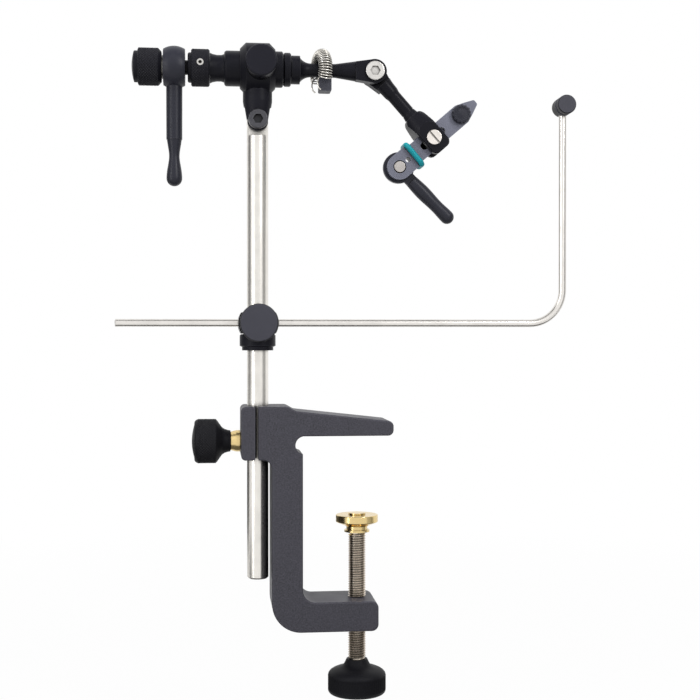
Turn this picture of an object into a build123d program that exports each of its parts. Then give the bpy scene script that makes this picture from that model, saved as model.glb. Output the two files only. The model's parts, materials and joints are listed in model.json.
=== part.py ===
# Rotary fly tying vise on a C-clamp, with a bobbin cradle.
# Millimetres. X runs right along the head, Y away from the tier, Z up.
# The origin is on the clamp screw's axis, at the face that rests on the table top.
import os
from math import cos, pi, radians, sin, sqrt

from build123d import *

os.makedirs("parts", exist_ok=True)

# General fits
running_gap = 0.06        # radial, between a shaft and the hole that it turns or slides in
seat_gap = 0.02           # radial, between a fixed spigot and its hole
face_gap = 0.3            # between faces of pieces that turn past each other
knob_gap = 0.2            # between a knob and the boss that it tightens on
edge_break = 0.5          # bevel on turned edges
fine_break = 0.3          # bevel or round on small edges
inch = 25.4
crest_share = 0.2         # flat crest of a thread, as a share of its pitch
root_share = 0.6          # place of a thread's root in its pitch
match_gap = 0.01          # places closer than this count as one

# Post
post_r = 3 / 16 * inch
post_stand_off = 5.8      # clamp spine's left face to the post axis
post_bottom = -64.1
post_length = 203.8       # foot of the post to the tilt axis
tongue_drop = 6.7         # tilt axis down to where the post's flat tongue begins
tongue_thickness = 4.9
post_chamfer = 0.7

# C-clamp frame
frame_depth = 25.4
head_top = 13.1
head_bottom = -10.4
cheek_wall = 2.8          # metal left of the post bore
throat_depth = 25.2       # clamp screw axis to the spine
spine_width = 13.6
arm_step = 1.8            # drop from the flat head to the sloping arm
arm_step_run = 8.8        # spine's left face to the middle of that drop
arm_step_round = 3.0
cheek_round = 2.0
arm_tip_x = 15.0
arm_tip_height = 6.3
tip_round = 2.5
throat_height = 73.2
lower_arm_height = 13.2
lower_arm_end = 8.3
lower_arm_round = 3.0
relief_r = 4.0
relief_shift = 0.72       # centre of the corner relief, right of the spine's face
inner_fillet = 5.5
outer_fillet = 13.0
neck_fillet = 4.0
slit_width = 1.5
slit_shift = 0.8          # slit stands this far left of the post axis
frame_chamfer = 0.5

# Post lock
lock_z = -2.65
lock_screw_r = 5 / 32 * inch
lock_pitch = inch / 24
lock_knob_r = 9.75
lock_knob_length = 15.65
lock_knob_dome = 1.4
lock_knob_bevel = 2.0
lock_knob_shoulder = 6.3  # length over which the side narrows to the neck
lock_knob_flank = 2.8
lock_knob_flank_r = 6.3
lock_knob_neck = 1.25
lock_knob_neck_r = 4.7
lock_knob_stand_off = 4.55
lock_barrel_r = 4.1        # smooth brass barrel, widening from the knob to the frame
lock_barrel_end_r = 4.8
lock_barrel = 2.6
lock_tang_r = 3.0
lock_tang_length = 8.0

# Clamp screw and swivel pad
screw_r = 5 / 32 * inch
screw_pitch = inch / 24
thread_depth = 0.6
screw_neck_r = 2.5
screw_ball_r = 3.1
screw_tang_r = 3.4
screw_tang_length = 10.0
pad_r = 9.5
pad_top = -36.3
pad_rim = 3.2
pad_edge = 0.35
pad_boss_r = 3.85
pad_boss_height = 0.8
pad_cone = 2.0
pad_hub_r = 4.75
pad_hub = 1.6
ball_lift = 0.8           # ball centre above the foot of the pad's cone
retainer_r = 5.7
retainer_thickness = 0.9
pad_knob_gap = 57.4       # bare screw between the retainer and the knob
clamp_knob_r = 13.05
clamp_knob_neck_r = 4.7
clamp_knob_cone_r = 6.0
clamp_knob_cone = 2.6
clamp_knob_shoulder = 4.7
clamp_knob_brow = 1.8      # drop of the shoulder to a middle place, and the radius there
clamp_knob_brow_r = 10.1
clamp_knob_side = 6.8
clamp_knob_dome = 2.4
clamp_knob_edge = 1.8

# Tilting head
tilt_bolt_r = 2.5
tilt_head_r = 4.25
tilt_head_height = 3.9
tilt_socket = 4.0
tilt_spot_gap = 0.45      # spot face round the bolt's head
tilt_bolt_setback = 0.4   # end of the bolt inside the fork's rear face
ear_r = 4.7
fork_waist_r = 5.2
fork_top_r = 6.5
fork_shoulder = 5.0
fork_height = 13.7        # tilt axis to the fork's top
fork_spot = 4.6           # distance of the bolt head's seat from the post axis
fork_spigot_r = 2.5
fork_spigot = 2.8
slot_depth = 6.4          # fork slot above the tilt axis
spindle_rise = 9.6        # fork's top to the spindle axis
drum_r = 11.4
drum_length = 15.6
drum_chamfer = 2.6
bore_r = 6.05
boss_r = 6.7
boss_reach = 16.0         # front face of the boss, from the spindle axis
brake_shift = 1.1         # brake axis right of the post axis
brake_knob_r = 6.9
brake_knob_height = 3.8
brake_stud_r = 2.5
brake_stud_end = 8.0      # inner end of the stud, from the spindle axis
brake_knob_round = 0.9

# Bearings and spindle
spindle_r = 3.2
bush_wall = 1.4
bush_length = 10.0
sleeve_ring_r = 7.8
sleeve_ring = 7.0
sleeve_neck_r = 5.8
sleeve_neck = 6.3
sleeve_flare = 0.9
sleeve_fillet = 0.4
sleeve_shoulder = 1.3
sleeve_spigot = 5.0
cap_r = 7.95
cap_length = 3.5
cap_spigot = 4.0
thrust_r = 7.45
thrust_length = 3.2
flange_r = 6.3
flange_length = 3.7

# Knurled spindle collar, crank and end knob
collar_gap = 0.2
collar_r = 8.15
collar_length = 8.0
collar_lip_r = 6.65
collar_lip = 1.5
set_screw_r = 1.5
set_screw_tilt = 8.0
set_screw_socket = 1.5
crank_gap = 1.2
crank_ball_r = 9.3
crank_flat = 9.5          # length of the hub between its two flats
crank_arm_r = 3.6
crank_arm_length = 31.9   # spindle axis to the end of the arm
crank_arm_taper = 0.1
grip_top_r = 3.25
grip_waist_r = 2.3
grip_waist = 7.2
grip_bulb_r = 3.45
grip_length = 20.7
grip_spigot_r = 2.0
grip_spigot = 4.0
washer_r = 5.2
washer_thickness = 0.75
end_knob_r = 8.15
end_knob_length = 13.1
end_knob_lip_r = 6.9
end_knob_lip = 1.4
end_knob_dome = 1.3
end_knob_chamfer = 1.6
end_thread_length = 9.0

# Upper arm and material clip
arm_r = 3.05
arm_root_r = 5.6
arm_root_length = 5.2
arm_spigot_r = 2.0
arm_spigot = 3.0
upper_arm_length = 33.4   # spindle flange to the elbow axis
elbow_drop = 0.6          # elbow axis below the spindle axis
knuckle_r = 5.35
knuckle_half = 5.0
knuckle_root = 6.5        # inner end of each turned arm, from the elbow
knuckle_web = 8.5         # length of the block that joins each knuckle to its arm
knuckle_inset = 0.6       # that block ends this far inside the arm
upper_root_r = 4.7
lower_root_r = 4.0
knuckle_taper = 17.5      # where the upper arm starts to swell, from the elbow
elbow_bolt_r = 2.5
elbow_head_r = 4.25
elbow_head_height = 1.5
elbow_socket = 4.0
clip_reach = 11.3         # spindle flange to the middle of the clip
wire_d = 0.5
clip_coil_d = 6.5
clip_ring_r = 6.5
clip_turns = 15
clip_end_angle = 32.0     # ring ends lie this far below the spindle axis
clip_yaw = 12.0           # the clip sits turned by this about the upright
hook_drop = 2.6           # ring end down to where its wire enters the tab
clip_shift = 1.6          # coil's middle behind the tab's, along the arm
tab_width = 5.5
tab_half_depth = 3.5
tab_gap = 0.5             # arm down to the top of the tab
tab_height = 6.1
tab_round = 0.6

# Lower arm and jaw holder
lower_arm_angle = -48.23
lower_arm_length = 39.55  # elbow axis to holder screw axis
lower_arm_r = 3.05
lower_arm_waist = 11.6    # elbow axis to where the slim part begins
lower_arm_step = 2.6      # length over which it slims there
lower_arm_collar_r = 3.5
lower_arm_neck_r = 3.5
lower_arm_ring = 2.2      # neck ring at the holder, and the fine groove behind it
lower_arm_groove = 0.25
holder_width = 9.7
holder_round = 2.7
holder_back = 13.7        # holder screw axis to the arm's end
holder_front = 6.7
holder_end_r = 4.7        # the arm's end of the holder is turned to a cone
holder_cone_slope = 0.48
tine_thickness = 3.2
holder_spigot_r = 2.5
holder_spigot = 5.0
holder_screw_r = 1.7
holder_head_r = 3.35
holder_head_height = 1.6
holder_recess = 0.8
screw_slot_width = 0.9
screw_slot_depth = 0.9

# Jaws
jaw_angle = 40.7
jaw_thickness = 2.5
jaw_gap = 3.2             # clear space between the two jaws
jaw_side_gap = 0.2        # between each jaw and the holder's tine
jaw_width = 9.4
jaw_heel_width = 11.3     # behind the rubber ring
jaw_tip_width = 2.5
jaw_tip = 26.4            # from the holder screw
jaw_taper = 17.3
jaw_nose = 5.0            # length over which the jaws meet behind the tip
jaw_nose_gap = 0.08
jaw_tip_round = 0.9
jaw_bevel_run = 1.0       # the side bevel would meet the tip's half width this far past the tip
jaw_slot_width = 3.6
jaw_slot_end = 6.95
jaw_notch_depth = 0.5
jaw_vent_r = 1.2
jaw_vent = -14.8
cam_u = -19.8
cam_pin_r = 2.55
cam_pin_rim = 0.4         # dark clearance ring round the pin in the front jaw
cam_pin_proud = 0.4
cam_hub_r = 7.0
cam_hub_thickness = 2.2
lever_angle = -44.6
lever_length = 31.2
lever_belly_r = 3.3
lever_belly = 16.0        # where the handle is fullest near its root
lever_waist_r = 2.9
lever_waist = 25.0
lever_end_r = 3.15
lever_neck_half = 2.7
lever_root = 8.6          # where the round handle begins, from the pin
lever_root_r = 2.9
lever_groove = 0.35       # two fine grooves across the neck
lever_groove_depth = 0.25
lever_groove_step = 1.1
lever_lap = 1.0           # length of the flat neck inside the round handle
ring_u = -11.45
ring_section_d = 2.4
ring_gap = 0.2
ring_corner = 1.8
adjuster_u = 16.8
adjuster_r = 4.25
adjuster_height = 2.6
adjuster_gap = 0.15
adjuster_screw_r = 1.5

# Bobbin cradle
rod_r = 1.7
rod_z = 49.8
rod_front = 8.0           # rod axis in front of the post axis
rod_tail = 62.2           # post axis to the rod's left end
rod_reach = 137.1         # post axis to the rod's upright leg
rod_bend = 15.0
rod_rise = 96.4
bracket_r = 8.8
bracket_half_height = 4.6
bracket_back = 7.6
bracket_front = 13.0
cradle_collar_r = 8.0
cradle_collar_height = 5.7
cradle_lip_r = 6.95
cradle_lip = 1.5
cradle_knob_r = 8.3
cradle_knob_height = 6.8
cradle_knob_round = 0.8
cradle_stud_r = 2.5
spool_r = 4.25
spool_front = 7.7         # rod axis to the spool's front face
spool_back = 3.0
spool_disc = 3.0
spool_groove_r = 3.1
spool_groove = 1.4
spool_slope = 0.3
spool_seat = 1.2          # the rod ends this far below the spool's axis


# Places that follow from the sizes above
def place(value):
    """A place that is a sum of sizes, to the nearest micrometre."""
    return round(value, 3)


def front_plane(x, z, angle=0.0):
    """Upright plane facing the tier: its x runs along the angle, its offset towards the tier."""
    direction = (cos(radians(angle)), 0, sin(radians(angle)))
    return Plane(origin=(x, 0, z), x_dir=direction, z_dir=(0, -1, 0))


def turn(plane, points, mode=Mode.ADD):
    """Turned form about the plane's x line, from (place along it, radius) points."""
    with BuildSketch(plane) as profile:
        with BuildLine():
            Polyline(*points, close=True)
        make_face()
    revolve(profile.sketch, axis=Axis(plane.origin, plane.x_dir), mode=mode)


def thread_points(start, end, crest, depth, pitch):
    """Crests and roots of a thread, as (place along the axis, radius) points."""
    count = int(abs(end - start) / pitch)
    step = (end - start) / count
    points = []
    for index in range(count):
        along = start + index * step
        points.append((along, crest))
        points.append((along + crest_share * step, crest))
        points.append((along + root_share * step, crest - depth))
    return points + [(end, crest)]


def save(builder, name):
    builder.part.label = name
    export_step(builder.part, f"parts/{name}.step")


spine_right = -throat_depth
spine_left = place(spine_right - spine_width)
arm_step_x = place(spine_left + arm_step_run)
post_x = place(spine_left - post_stand_off)
tilt_z = place(post_bottom + post_length)
fork_top = place(tilt_z + fork_height)
spindle_z = place(fork_top + spindle_rise)
bush_r = spindle_r + bush_wall
upright_screw = Plane(origin=(0, 0, 0), x_dir=(0, 0, 1), z_dir=(0, -1, 0))
upright_post = Plane(origin=(post_x, 0, 0), x_dir=(0, 0, 1), z_dir=(0, -1, 0))
spindle_line = front_plane(0, spindle_z)
lock_line = front_plane(0, lock_z)
head_left = post_x - post_r - running_gap - cheek_wall
lower_arm_top = -throat_height
lower_arm_bottom = -throat_height - lower_arm_height

# C-clamp frame
relief_z = -relief_r
relief_x = spine_right + relief_shift
slope = (head_top - arm_step - arm_tip_height) / (arm_tip_x - arm_step_x)


def corners_at(x):
    """Corners of the outline in hand that lie at this x."""
    return vertices().filter_by(lambda v: abs(v.X - x) < match_gap)


with BuildPart() as c_clamp_frame:
    with BuildSketch(Plane.XZ.offset(-frame_depth / 2)):
        with BuildLine():
            Polyline(
                (head_left, head_bottom),
                (head_left, head_top),
                (arm_step_x - arm_step, head_top),
                (arm_step_x + arm_step, head_top - arm_step - slope * arm_step),
                (arm_tip_x, arm_tip_height),
                (arm_tip_x, 0),
                (spine_right, 0),
                (spine_right, lower_arm_top),
                (lower_arm_end, lower_arm_top),
                (lower_arm_end, lower_arm_bottom),
                (spine_left, lower_arm_bottom),
                (spine_left, head_bottom),
                close=True,
            )
        make_face()
        fillet(corners_at(arm_tip_x), radius=tip_round)
        fillet(corners_at(lower_arm_end), radius=lower_arm_round)
        fillet(corners_at(spine_right).sort_by(Axis.Y)[0], radius=inner_fillet)
        fillet(corners_at(spine_left).sort_by(Axis.Y)[0], radius=outer_fillet)
        fillet(corners_at(spine_left).sort_by(Axis.Y)[-1], radius=neck_fillet)
        fillet(corners_at(head_left), radius=cheek_round)
        fillet(corners_at(arm_step_x - arm_step), radius=arm_step_round)
        fillet(corners_at(arm_step_x + arm_step), radius=arm_step_round)
        with Locations((relief_x, relief_z)):
            Circle(relief_r, mode=Mode.SUBTRACT)
    extrude(amount=frame_depth)
    outline = edges().filter_by(Plane.XZ)
    chamfer(outline, length=frame_chamfer)
    with BuildSketch(Plane.XY.offset(head_bottom - neck_fillet)):
        with Locations((post_x, 0)):
            Circle(post_r + running_gap)
    extrude(amount=head_top - head_bottom + neck_fillet, mode=Mode.SUBTRACT)
    with BuildSketch(Plane.XY.offset(lower_arm_bottom)):
        Circle(screw_r + running_gap)
    extrude(amount=lower_arm_height, mode=Mode.SUBTRACT)
    with BuildSketch(Plane.XY.offset(head_bottom)):
        with Locations((post_x - slit_shift, -frame_depth / 4)):
            Rectangle(slit_width, frame_depth / 2)
    extrude(amount=head_top - head_bottom, mode=Mode.SUBTRACT)
    with BuildSketch(Plane(origin=(head_left, 0, lock_z), x_dir=(0, 1, 0), z_dir=(1, 0, 0))):
        Circle(lock_screw_r + running_gap)
    extrude(amount=post_x - head_left, mode=Mode.SUBTRACT)
save(c_clamp_frame, "c_clamp_frame")

# Post lock: brass screw and its knob
lock_tip = post_x - post_r - face_gap
lock_face = head_left - lock_knob_stand_off
lock_knob_end = lock_face - lock_knob_length
barrel_end = head_left - face_gap
with BuildPart() as post_lock_screw:
    points = [(lock_face - lock_tang_length, 0), (lock_face - lock_tang_length, lock_tang_r)]
    points += [(lock_face, lock_tang_r), (lock_face, lock_barrel_r)]
    points += [(lock_face + lock_barrel, lock_barrel_end_r), (barrel_end, lock_barrel_end_r)]
    points += thread_points(barrel_end, lock_tip - lock_pitch, lock_screw_r, thread_depth, lock_pitch)
    points += [(lock_tip, lock_screw_r - lock_pitch), (lock_tip, 0)]
    turn(lock_line, points)
save(post_lock_screw, "post_lock_screw")

with BuildPart() as post_lock_knob:
    face_r = lock_knob_r - lock_knob_bevel
    with BuildSketch(lock_line):
        with BuildLine():
            dome = (lock_knob_end - lock_knob_dome, 0)
            rim = (lock_knob_end, face_r)
            TangentArc(dome, rim, tangent=(0, 1))
            shoulder_in = (lock_face - lock_knob_shoulder, lock_knob_r)
            neck_out = (lock_face - lock_knob_neck, lock_knob_neck_r)
            Polyline(rim, (lock_knob_end + lock_knob_bevel, lock_knob_r), shoulder_in)
            flank = (lock_face - lock_knob_flank, lock_knob_flank_r)
            ThreePointArc(shoulder_in, flank, neck_out)
            Polyline(neck_out, (lock_face, lock_knob_neck_r), (lock_face, 0), dome)
        make_face()
    revolve(axis=Axis(lock_line.origin, lock_line.x_dir))
    tang_end = lock_face - lock_tang_length
    tang_hole = [(tang_end, 0), (tang_end, lock_tang_r + seat_gap)]
    tang_hole += [(lock_face, lock_tang_r + seat_gap), (lock_face, 0)]
    turn(lock_line, tang_hole, mode=Mode.SUBTRACT)
save(post_lock_knob, "post_lock_knob")

# Swivel pad with the ball socket for the clamp screw
pad_rim_bottom = pad_top - pad_rim
pad_cone_bottom = pad_rim_bottom - pad_cone
pad_bottom = pad_cone_bottom - pad_hub
socket_r = screw_ball_r + running_gap
ball_z = pad_cone_bottom + ball_lift
with BuildPart() as swivel_pad:
    turn(upright_screw, [
        (pad_top + pad_boss_height, 0),
        (pad_top + pad_boss_height, pad_boss_r),
        (pad_top, pad_boss_r),
        (pad_top, pad_r),
        (pad_rim_bottom, pad_r),
        (pad_cone_bottom, pad_hub_r),
        (pad_bottom, pad_hub_r),
        (pad_bottom, 0),
    ])
    rim_edges = edges().filter_by(GeomType.CIRCLE).filter_by(lambda e: abs(e.radius - pad_r) < match_gap)
    fillet(rim_edges, radius=pad_edge)
    with BuildSketch(Plane.XY.offset(pad_bottom)):
        Circle(socket_r)
    extrude(amount=ball_z - pad_bottom, mode=Mode.SUBTRACT)
    with Locations((0, 0, ball_z)):
        Sphere(socket_r, mode=Mode.SUBTRACT)
save(swivel_pad, "swivel_pad")

retainer_bottom = pad_bottom - retainer_thickness
with BuildPart() as pad_retainer:
    with BuildSketch(Plane.XY.offset(retainer_bottom)):
        Circle(retainer_r)
        Circle(screw_neck_r + running_gap, mode=Mode.SUBTRACT)
    extrude(amount=retainer_thickness)
save(pad_retainer, "pad_retainer")

# Clamp screw: ball, neck, thread and a plain tang inside its knob
screw_top = retainer_bottom - face_gap
knob_top = retainer_bottom - pad_knob_gap
neck_meets_ball = ball_z - sqrt(screw_ball_r ** 2 - screw_neck_r ** 2)
with BuildPart() as clamp_screw:
    points = [(knob_top - screw_tang_length, 0), (knob_top - screw_tang_length, screw_tang_r)]
    points += [(knob_top, screw_tang_r)]
    points += thread_points(knob_top, screw_top, screw_r, thread_depth, screw_pitch)
    points += [(screw_top, screw_neck_r), (neck_meets_ball, screw_neck_r)]
    points += [(neck_meets_ball, 0)]
    turn(upright_screw, points)
    with Locations((0, 0, ball_z)):
        Sphere(screw_ball_r)
save(clamp_screw, "clamp_screw")

knob_side_top = knob_top - clamp_knob_cone - clamp_knob_shoulder
knob_side_bottom = knob_side_top - clamp_knob_side
with BuildPart() as clamp_screw_knob:
    with BuildSketch(upright_screw):
        with BuildLine():
            crown = (knob_top - clamp_knob_cone, clamp_knob_cone_r)
            brow = (knob_side_top, clamp_knob_r)
            chin = (knob_side_bottom, clamp_knob_r)
            sole = (knob_side_bottom - clamp_knob_dome, 0)
            edge = (knob_side_bottom - clamp_knob_edge, clamp_knob_r - clamp_knob_edge)
            Polyline(sole, (knob_top, 0), (knob_top, clamp_knob_neck_r), crown)
            ThreePointArc(crown, (crown[0] - clamp_knob_brow, clamp_knob_brow_r), brow)
            Line(brow, chin)
            TangentArc(chin, edge, tangent=(-1, 0))
            TangentArc(sole, edge, tangent=(0, 1))
        make_face()
    revolve(axis=Axis(upright_screw.origin, upright_screw.x_dir))
    with BuildSketch(Plane.XY.offset(knob_top)):
        Circle(screw_tang_r + seat_gap)
    extrude(amount=-screw_tang_length, mode=Mode.SUBTRACT)
save(clamp_screw_knob, "clamp_screw_knob")

# Post with the flat tongue that the tilting head straddles
tilt_plane = front_plane(post_x, tilt_z)
with BuildPart() as post:
    with BuildSketch(Plane.XY.offset(post_bottom)):
        with Locations((post_x, 0)):
            Circle(post_r)
    extrude(amount=tilt_z + post_r - post_bottom)
    chamfer(edges().sort_by(Axis.Z)[0], length=post_chamfer)
    with BuildSketch(Plane.XY.offset(tilt_z - tongue_drop)):
        for side in (-1, 1):
            with Locations((post_x, side * (tongue_thickness / 2 + post_r))):
                Rectangle(3 * post_r, 2 * post_r)
    extrude(amount=2 * post_r + tongue_drop, mode=Mode.SUBTRACT)
    with BuildSketch(tilt_plane):
        with Locations((0, post_r)):
            Rectangle(3 * post_r, 2 * post_r)
        Circle(post_r, mode=Mode.SUBTRACT)
    extrude(amount=post_r, both=True, mode=Mode.SUBTRACT)
    with BuildSketch(tilt_plane):
        Circle(tilt_bolt_r + running_gap)
    extrude(amount=post_r, both=True, mode=Mode.SUBTRACT)
save(post, "post")

# Tilting fork
with BuildPart() as tilt_fork:
    turn(upright_post, [
        (tilt_z - ear_r, 0),
        (tilt_z - ear_r, fork_waist_r),
        (tilt_z, fork_waist_r),
        (fork_top - fork_shoulder, fork_top_r),
        (fork_top, fork_top_r),
        (fork_top, fork_spigot_r),
        (fork_top + fork_spigot, fork_spigot_r),
        (fork_top + fork_spigot, 0),
    ])
    with BuildSketch(tilt_plane):
        with Locations((0, -ear_r)):
            Rectangle(4 * ear_r, 2 * ear_r)
        Circle(ear_r, mode=Mode.SUBTRACT)
    extrude(amount=2 * ear_r, both=True, mode=Mode.SUBTRACT)
    with BuildSketch(tilt_plane):
        with Locations((0, slot_depth / 2 - ear_r)):
            Rectangle(4 * ear_r, slot_depth + 2 * ear_r)
    extrude(amount=tongue_thickness / 2 + running_gap, both=True, mode=Mode.SUBTRACT)
    with BuildSketch(tilt_plane.offset(fork_spot)):
        Circle(tilt_head_r + tilt_spot_gap)
    extrude(amount=fork_top_r, mode=Mode.SUBTRACT)
    with BuildSketch(tilt_plane.offset(-0.8 * fork_top_r)):
        Circle(tilt_bolt_r + seat_gap)
    extrude(amount=2 * fork_top_r, mode=Mode.SUBTRACT)
save(tilt_fork, "tilt_fork")

with BuildPart() as tilt_bolt:
    with BuildSketch(tilt_plane.offset(fork_spot)):
        Circle(tilt_head_r)
    extrude(amount=tilt_head_height)
    fillet(edges().sort_by(Axis.Y)[0], radius=edge_break)
    with BuildSketch(tilt_plane.offset(fork_spot)):
        Circle(tilt_bolt_r)
    extrude(amount=-fork_spot - ear_r + tilt_bolt_setback)
    with BuildSketch(tilt_plane.offset(fork_spot + tilt_head_height)):
        RegularPolygon(radius=tilt_socket / 2, side_count=6, major_radius=False)
    extrude(amount=-0.6 * tilt_head_height, mode=Mode.SUBTRACT)
save(tilt_bolt, "tilt_bolt")

# Head housing: the drum that the spindle runs through, with a boss for the brake
drum_left = post_x - drum_length / 2
drum_right = post_x + drum_length / 2
brake_plane = front_plane(place(post_x + brake_shift), spindle_z)
with BuildPart() as head_housing:
    turn(spindle_line, [
        (drum_left, 0),
        (drum_left, drum_r - drum_chamfer),
        (drum_left + drum_chamfer, drum_r),
        (drum_right - drum_chamfer, drum_r),
        (drum_right, drum_r - drum_chamfer),
        (drum_right, 0),
    ])
    with BuildSketch(brake_plane):
        Circle(boss_r)
    extrude(amount=boss_reach)
    turn(spindle_line, [
        (drum_left, 0),
        (drum_left, bore_r),
        (drum_right, bore_r),
        (drum_right, 0),
    ], mode=Mode.SUBTRACT)
    with BuildSketch(brake_plane):
        Circle(brake_stud_r + running_gap)
    extrude(amount=boss_reach, mode=Mode.SUBTRACT)
    with BuildSketch(Plane.XY.offset(fork_top)):
        with Locations((post_x, 0)):
            Circle(fork_top_r + seat_gap)
    extrude(amount=-fork_top_r, mode=Mode.SUBTRACT)
    with BuildSketch(Plane.XY.offset(fork_top)):
        with Locations((post_x, 0)):
            Circle(fork_spigot_r + seat_gap)
    extrude(amount=drum_r - bore_r, mode=Mode.SUBTRACT)
save(head_housing, "head_housing")

# Rotation brake: knob with its stud, and the pad that presses on the spindle
with BuildPart() as brake_knob:
    with BuildSketch(brake_plane.offset(boss_reach + knob_gap)):
        Circle(brake_knob_r)
    extrude(amount=brake_knob_height)
    fillet(edges().sort_by(Axis.Y)[0], radius=brake_knob_round)
    with BuildSketch(brake_plane.offset(brake_stud_end)):
        Circle(brake_stud_r)
    extrude(amount=boss_reach + knob_gap - brake_stud_end)
save(brake_knob, "brake_knob")

with BuildPart() as brake_pad:
    with BuildSketch(brake_plane.offset(spindle_r + running_gap)):
        Circle(brake_stud_r - running_gap)
    extrude(amount=brake_stud_end - spindle_r - 2 * running_gap)
save(brake_pad, "brake_pad")

# Rear bearing sleeve and front bearing cap, each with a bush
sleeve_left = drum_left - sleeve_ring - sleeve_neck
with BuildPart() as rear_sleeve:
    turn(spindle_line, [
        (sleeve_left, bush_r + seat_gap),
        (sleeve_left, sleeve_neck_r + sleeve_flare),
        (sleeve_left + 0.2 * sleeve_neck, sleeve_neck_r + 0.4 * sleeve_flare),
        (sleeve_left + 0.5 * sleeve_neck, sleeve_neck_r),
        (sleeve_left + 0.8 * sleeve_neck, sleeve_neck_r),
        (drum_left - sleeve_ring, sleeve_neck_r + sleeve_fillet),
        (drum_left - sleeve_ring, sleeve_ring_r),
        (drum_left, sleeve_ring_r),
        (drum_left, bore_r - seat_gap),
        (drum_left + sleeve_spigot, bore_r - seat_gap),
        (drum_left + sleeve_spigot, bush_r + seat_gap),
    ])
    round_edges = edges().filter_by(GeomType.CIRCLE)
    outer_edges = round_edges.filter_by(lambda edge: edge.radius > sleeve_ring_r - face_gap)
    fillet(outer_edges.sort_by(Axis.X)[0], radius=sleeve_shoulder)
save(rear_sleeve, "rear_sleeve")

with BuildPart() as front_cap:
    cap_right = drum_right + cap_length
    turn(spindle_line, [
        (drum_right - cap_spigot, bush_r + seat_gap),
        (drum_right - cap_spigot, bore_r - seat_gap),
        (drum_right, bore_r - seat_gap),
        (drum_right, cap_r),
        (cap_right - edge_break, cap_r),
        (cap_right, cap_r - edge_break),
        (cap_right, bush_r + seat_gap),
    ])
save(front_cap, "front_cap")


def bush(left, right):
    turn(spindle_line, [
        (left, spindle_r + running_gap),
        (left, bush_r),
        (right, bush_r),
        (right, spindle_r + running_gap),
    ])


with BuildPart() as rear_bush:
    bush(sleeve_left, sleeve_left + bush_length)
save(rear_bush, "rear_bush")

with BuildPart() as front_bush:
    bush(drum_right - cap_spigot, cap_right)
save(front_bush, "front_bush")

# Spindle, from the thread inside the end knob to its front flange
thrust_left = cap_right + face_gap
thrust_right = thrust_left + thrust_length
flange_left = thrust_right + face_gap
flange_right = flange_left + flange_length
collar_right = sleeve_left - collar_gap
collar_left = collar_right - collar_length - collar_lip
crank_right = collar_left - crank_gap
crank_left = crank_right - crank_flat
crank_x = (crank_left + crank_right) / 2
knob_right = crank_left - washer_thickness
spindle_left = knob_right - end_thread_length
with BuildPart() as spindle:
    turn(spindle_line, [
        (spindle_left, 0),
        (spindle_left, spindle_r - edge_break),
        (spindle_left + edge_break, spindle_r),
        (flange_left, spindle_r),
        (flange_left, flange_r),
        (flange_right, flange_r),
        (flange_right, arm_spigot_r + seat_gap),
        (flange_right - arm_spigot, arm_spigot_r + seat_gap),
        (flange_right - arm_spigot, 0),
    ])
save(spindle, "spindle")

with BuildPart() as thrust_ring:
    turn(spindle_line, [
        (thrust_left, spindle_r + seat_gap),
        (thrust_left, thrust_r - edge_break),
        (thrust_left + edge_break, thrust_r),
        (thrust_right - edge_break, thrust_r),
        (thrust_right, thrust_r - edge_break),
        (thrust_right, spindle_r + seat_gap),
    ])
save(thrust_ring, "thrust_ring")

# Knurled collar, locked to the spindle by a set screw
collar_shoulder = collar_left + collar_lip
set_screw_x = (collar_shoulder + collar_right) / 2
set_direction = (0, -cos(radians(set_screw_tilt)), sin(radians(set_screw_tilt)))
set_plane = Plane(origin=(set_screw_x, 0, spindle_z), x_dir=(1, 0, 0), z_dir=set_direction)
with BuildPart() as spindle_collar:
    turn(spindle_line, [
        (collar_left, spindle_r + seat_gap),
        (collar_left, collar_lip_r - edge_break),
        (collar_left + edge_break, collar_lip_r),
        (collar_shoulder, collar_lip_r),
        (collar_shoulder, collar_r - edge_break),
        (collar_shoulder + edge_break, collar_r),
        (collar_right - edge_break, collar_r),
        (collar_right, collar_r - edge_break),
        (collar_right, spindle_r + seat_gap),
    ])
    with BuildSketch(set_plane):
        Circle(set_screw_r + seat_gap)
    extrude(amount=2 * collar_r, mode=Mode.SUBTRACT)
save(spindle_collar, "spindle_collar")

set_screw_foot = spindle_r + seat_gap
set_screw_top = collar_r - set_screw_r / 4
with BuildPart() as collar_set_screw:
    with BuildSketch(set_plane.offset(set_screw_foot)):
        Circle(set_screw_r)
    extrude(amount=set_screw_top - set_screw_foot)
    with BuildSketch(set_plane.offset(set_screw_top)):
        RegularPolygon(radius=set_screw_socket / 2, side_count=6, major_radius=False)
    extrude(amount=-set_screw_r, mode=Mode.SUBTRACT)
save(collar_set_screw, "collar_set_screw")

# Crank: ball hub with its arm, and the grip screwed into the arm
arm_end = spindle_z - crank_arm_length
upright_crank = Plane(origin=(crank_x, 0, 0), x_dir=(0, 0, 1), z_dir=(0, -1, 0))
with BuildPart() as crank_arm:
    with Locations((crank_x, 0, spindle_z)):
        Sphere(crank_ball_r)
    with BuildSketch(Plane.YZ.offset(crank_left)):
        with Locations((0, spindle_z)):
            Circle(2 * crank_ball_r)
    extrude(amount=crank_flat, mode=Mode.INTERSECT)
    turn(upright_crank, [
        (spindle_z, 0),
        (spindle_z, crank_arm_r),
        (arm_end, crank_arm_r - crank_arm_taper),
        (arm_end, 0),
    ])
    turn(spindle_line, [
        (crank_left, 0),
        (crank_left, spindle_r + seat_gap),
        (crank_right, spindle_r + seat_gap),
        (crank_right, 0),
    ], mode=Mode.SUBTRACT)
    with BuildSketch(Plane.XY.offset(arm_end)):
        with Locations((crank_x, 0)):
            Circle(grip_spigot_r + seat_gap)
    extrude(amount=grip_spigot, mode=Mode.SUBTRACT)
save(crank_arm, "crank_arm")

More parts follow.
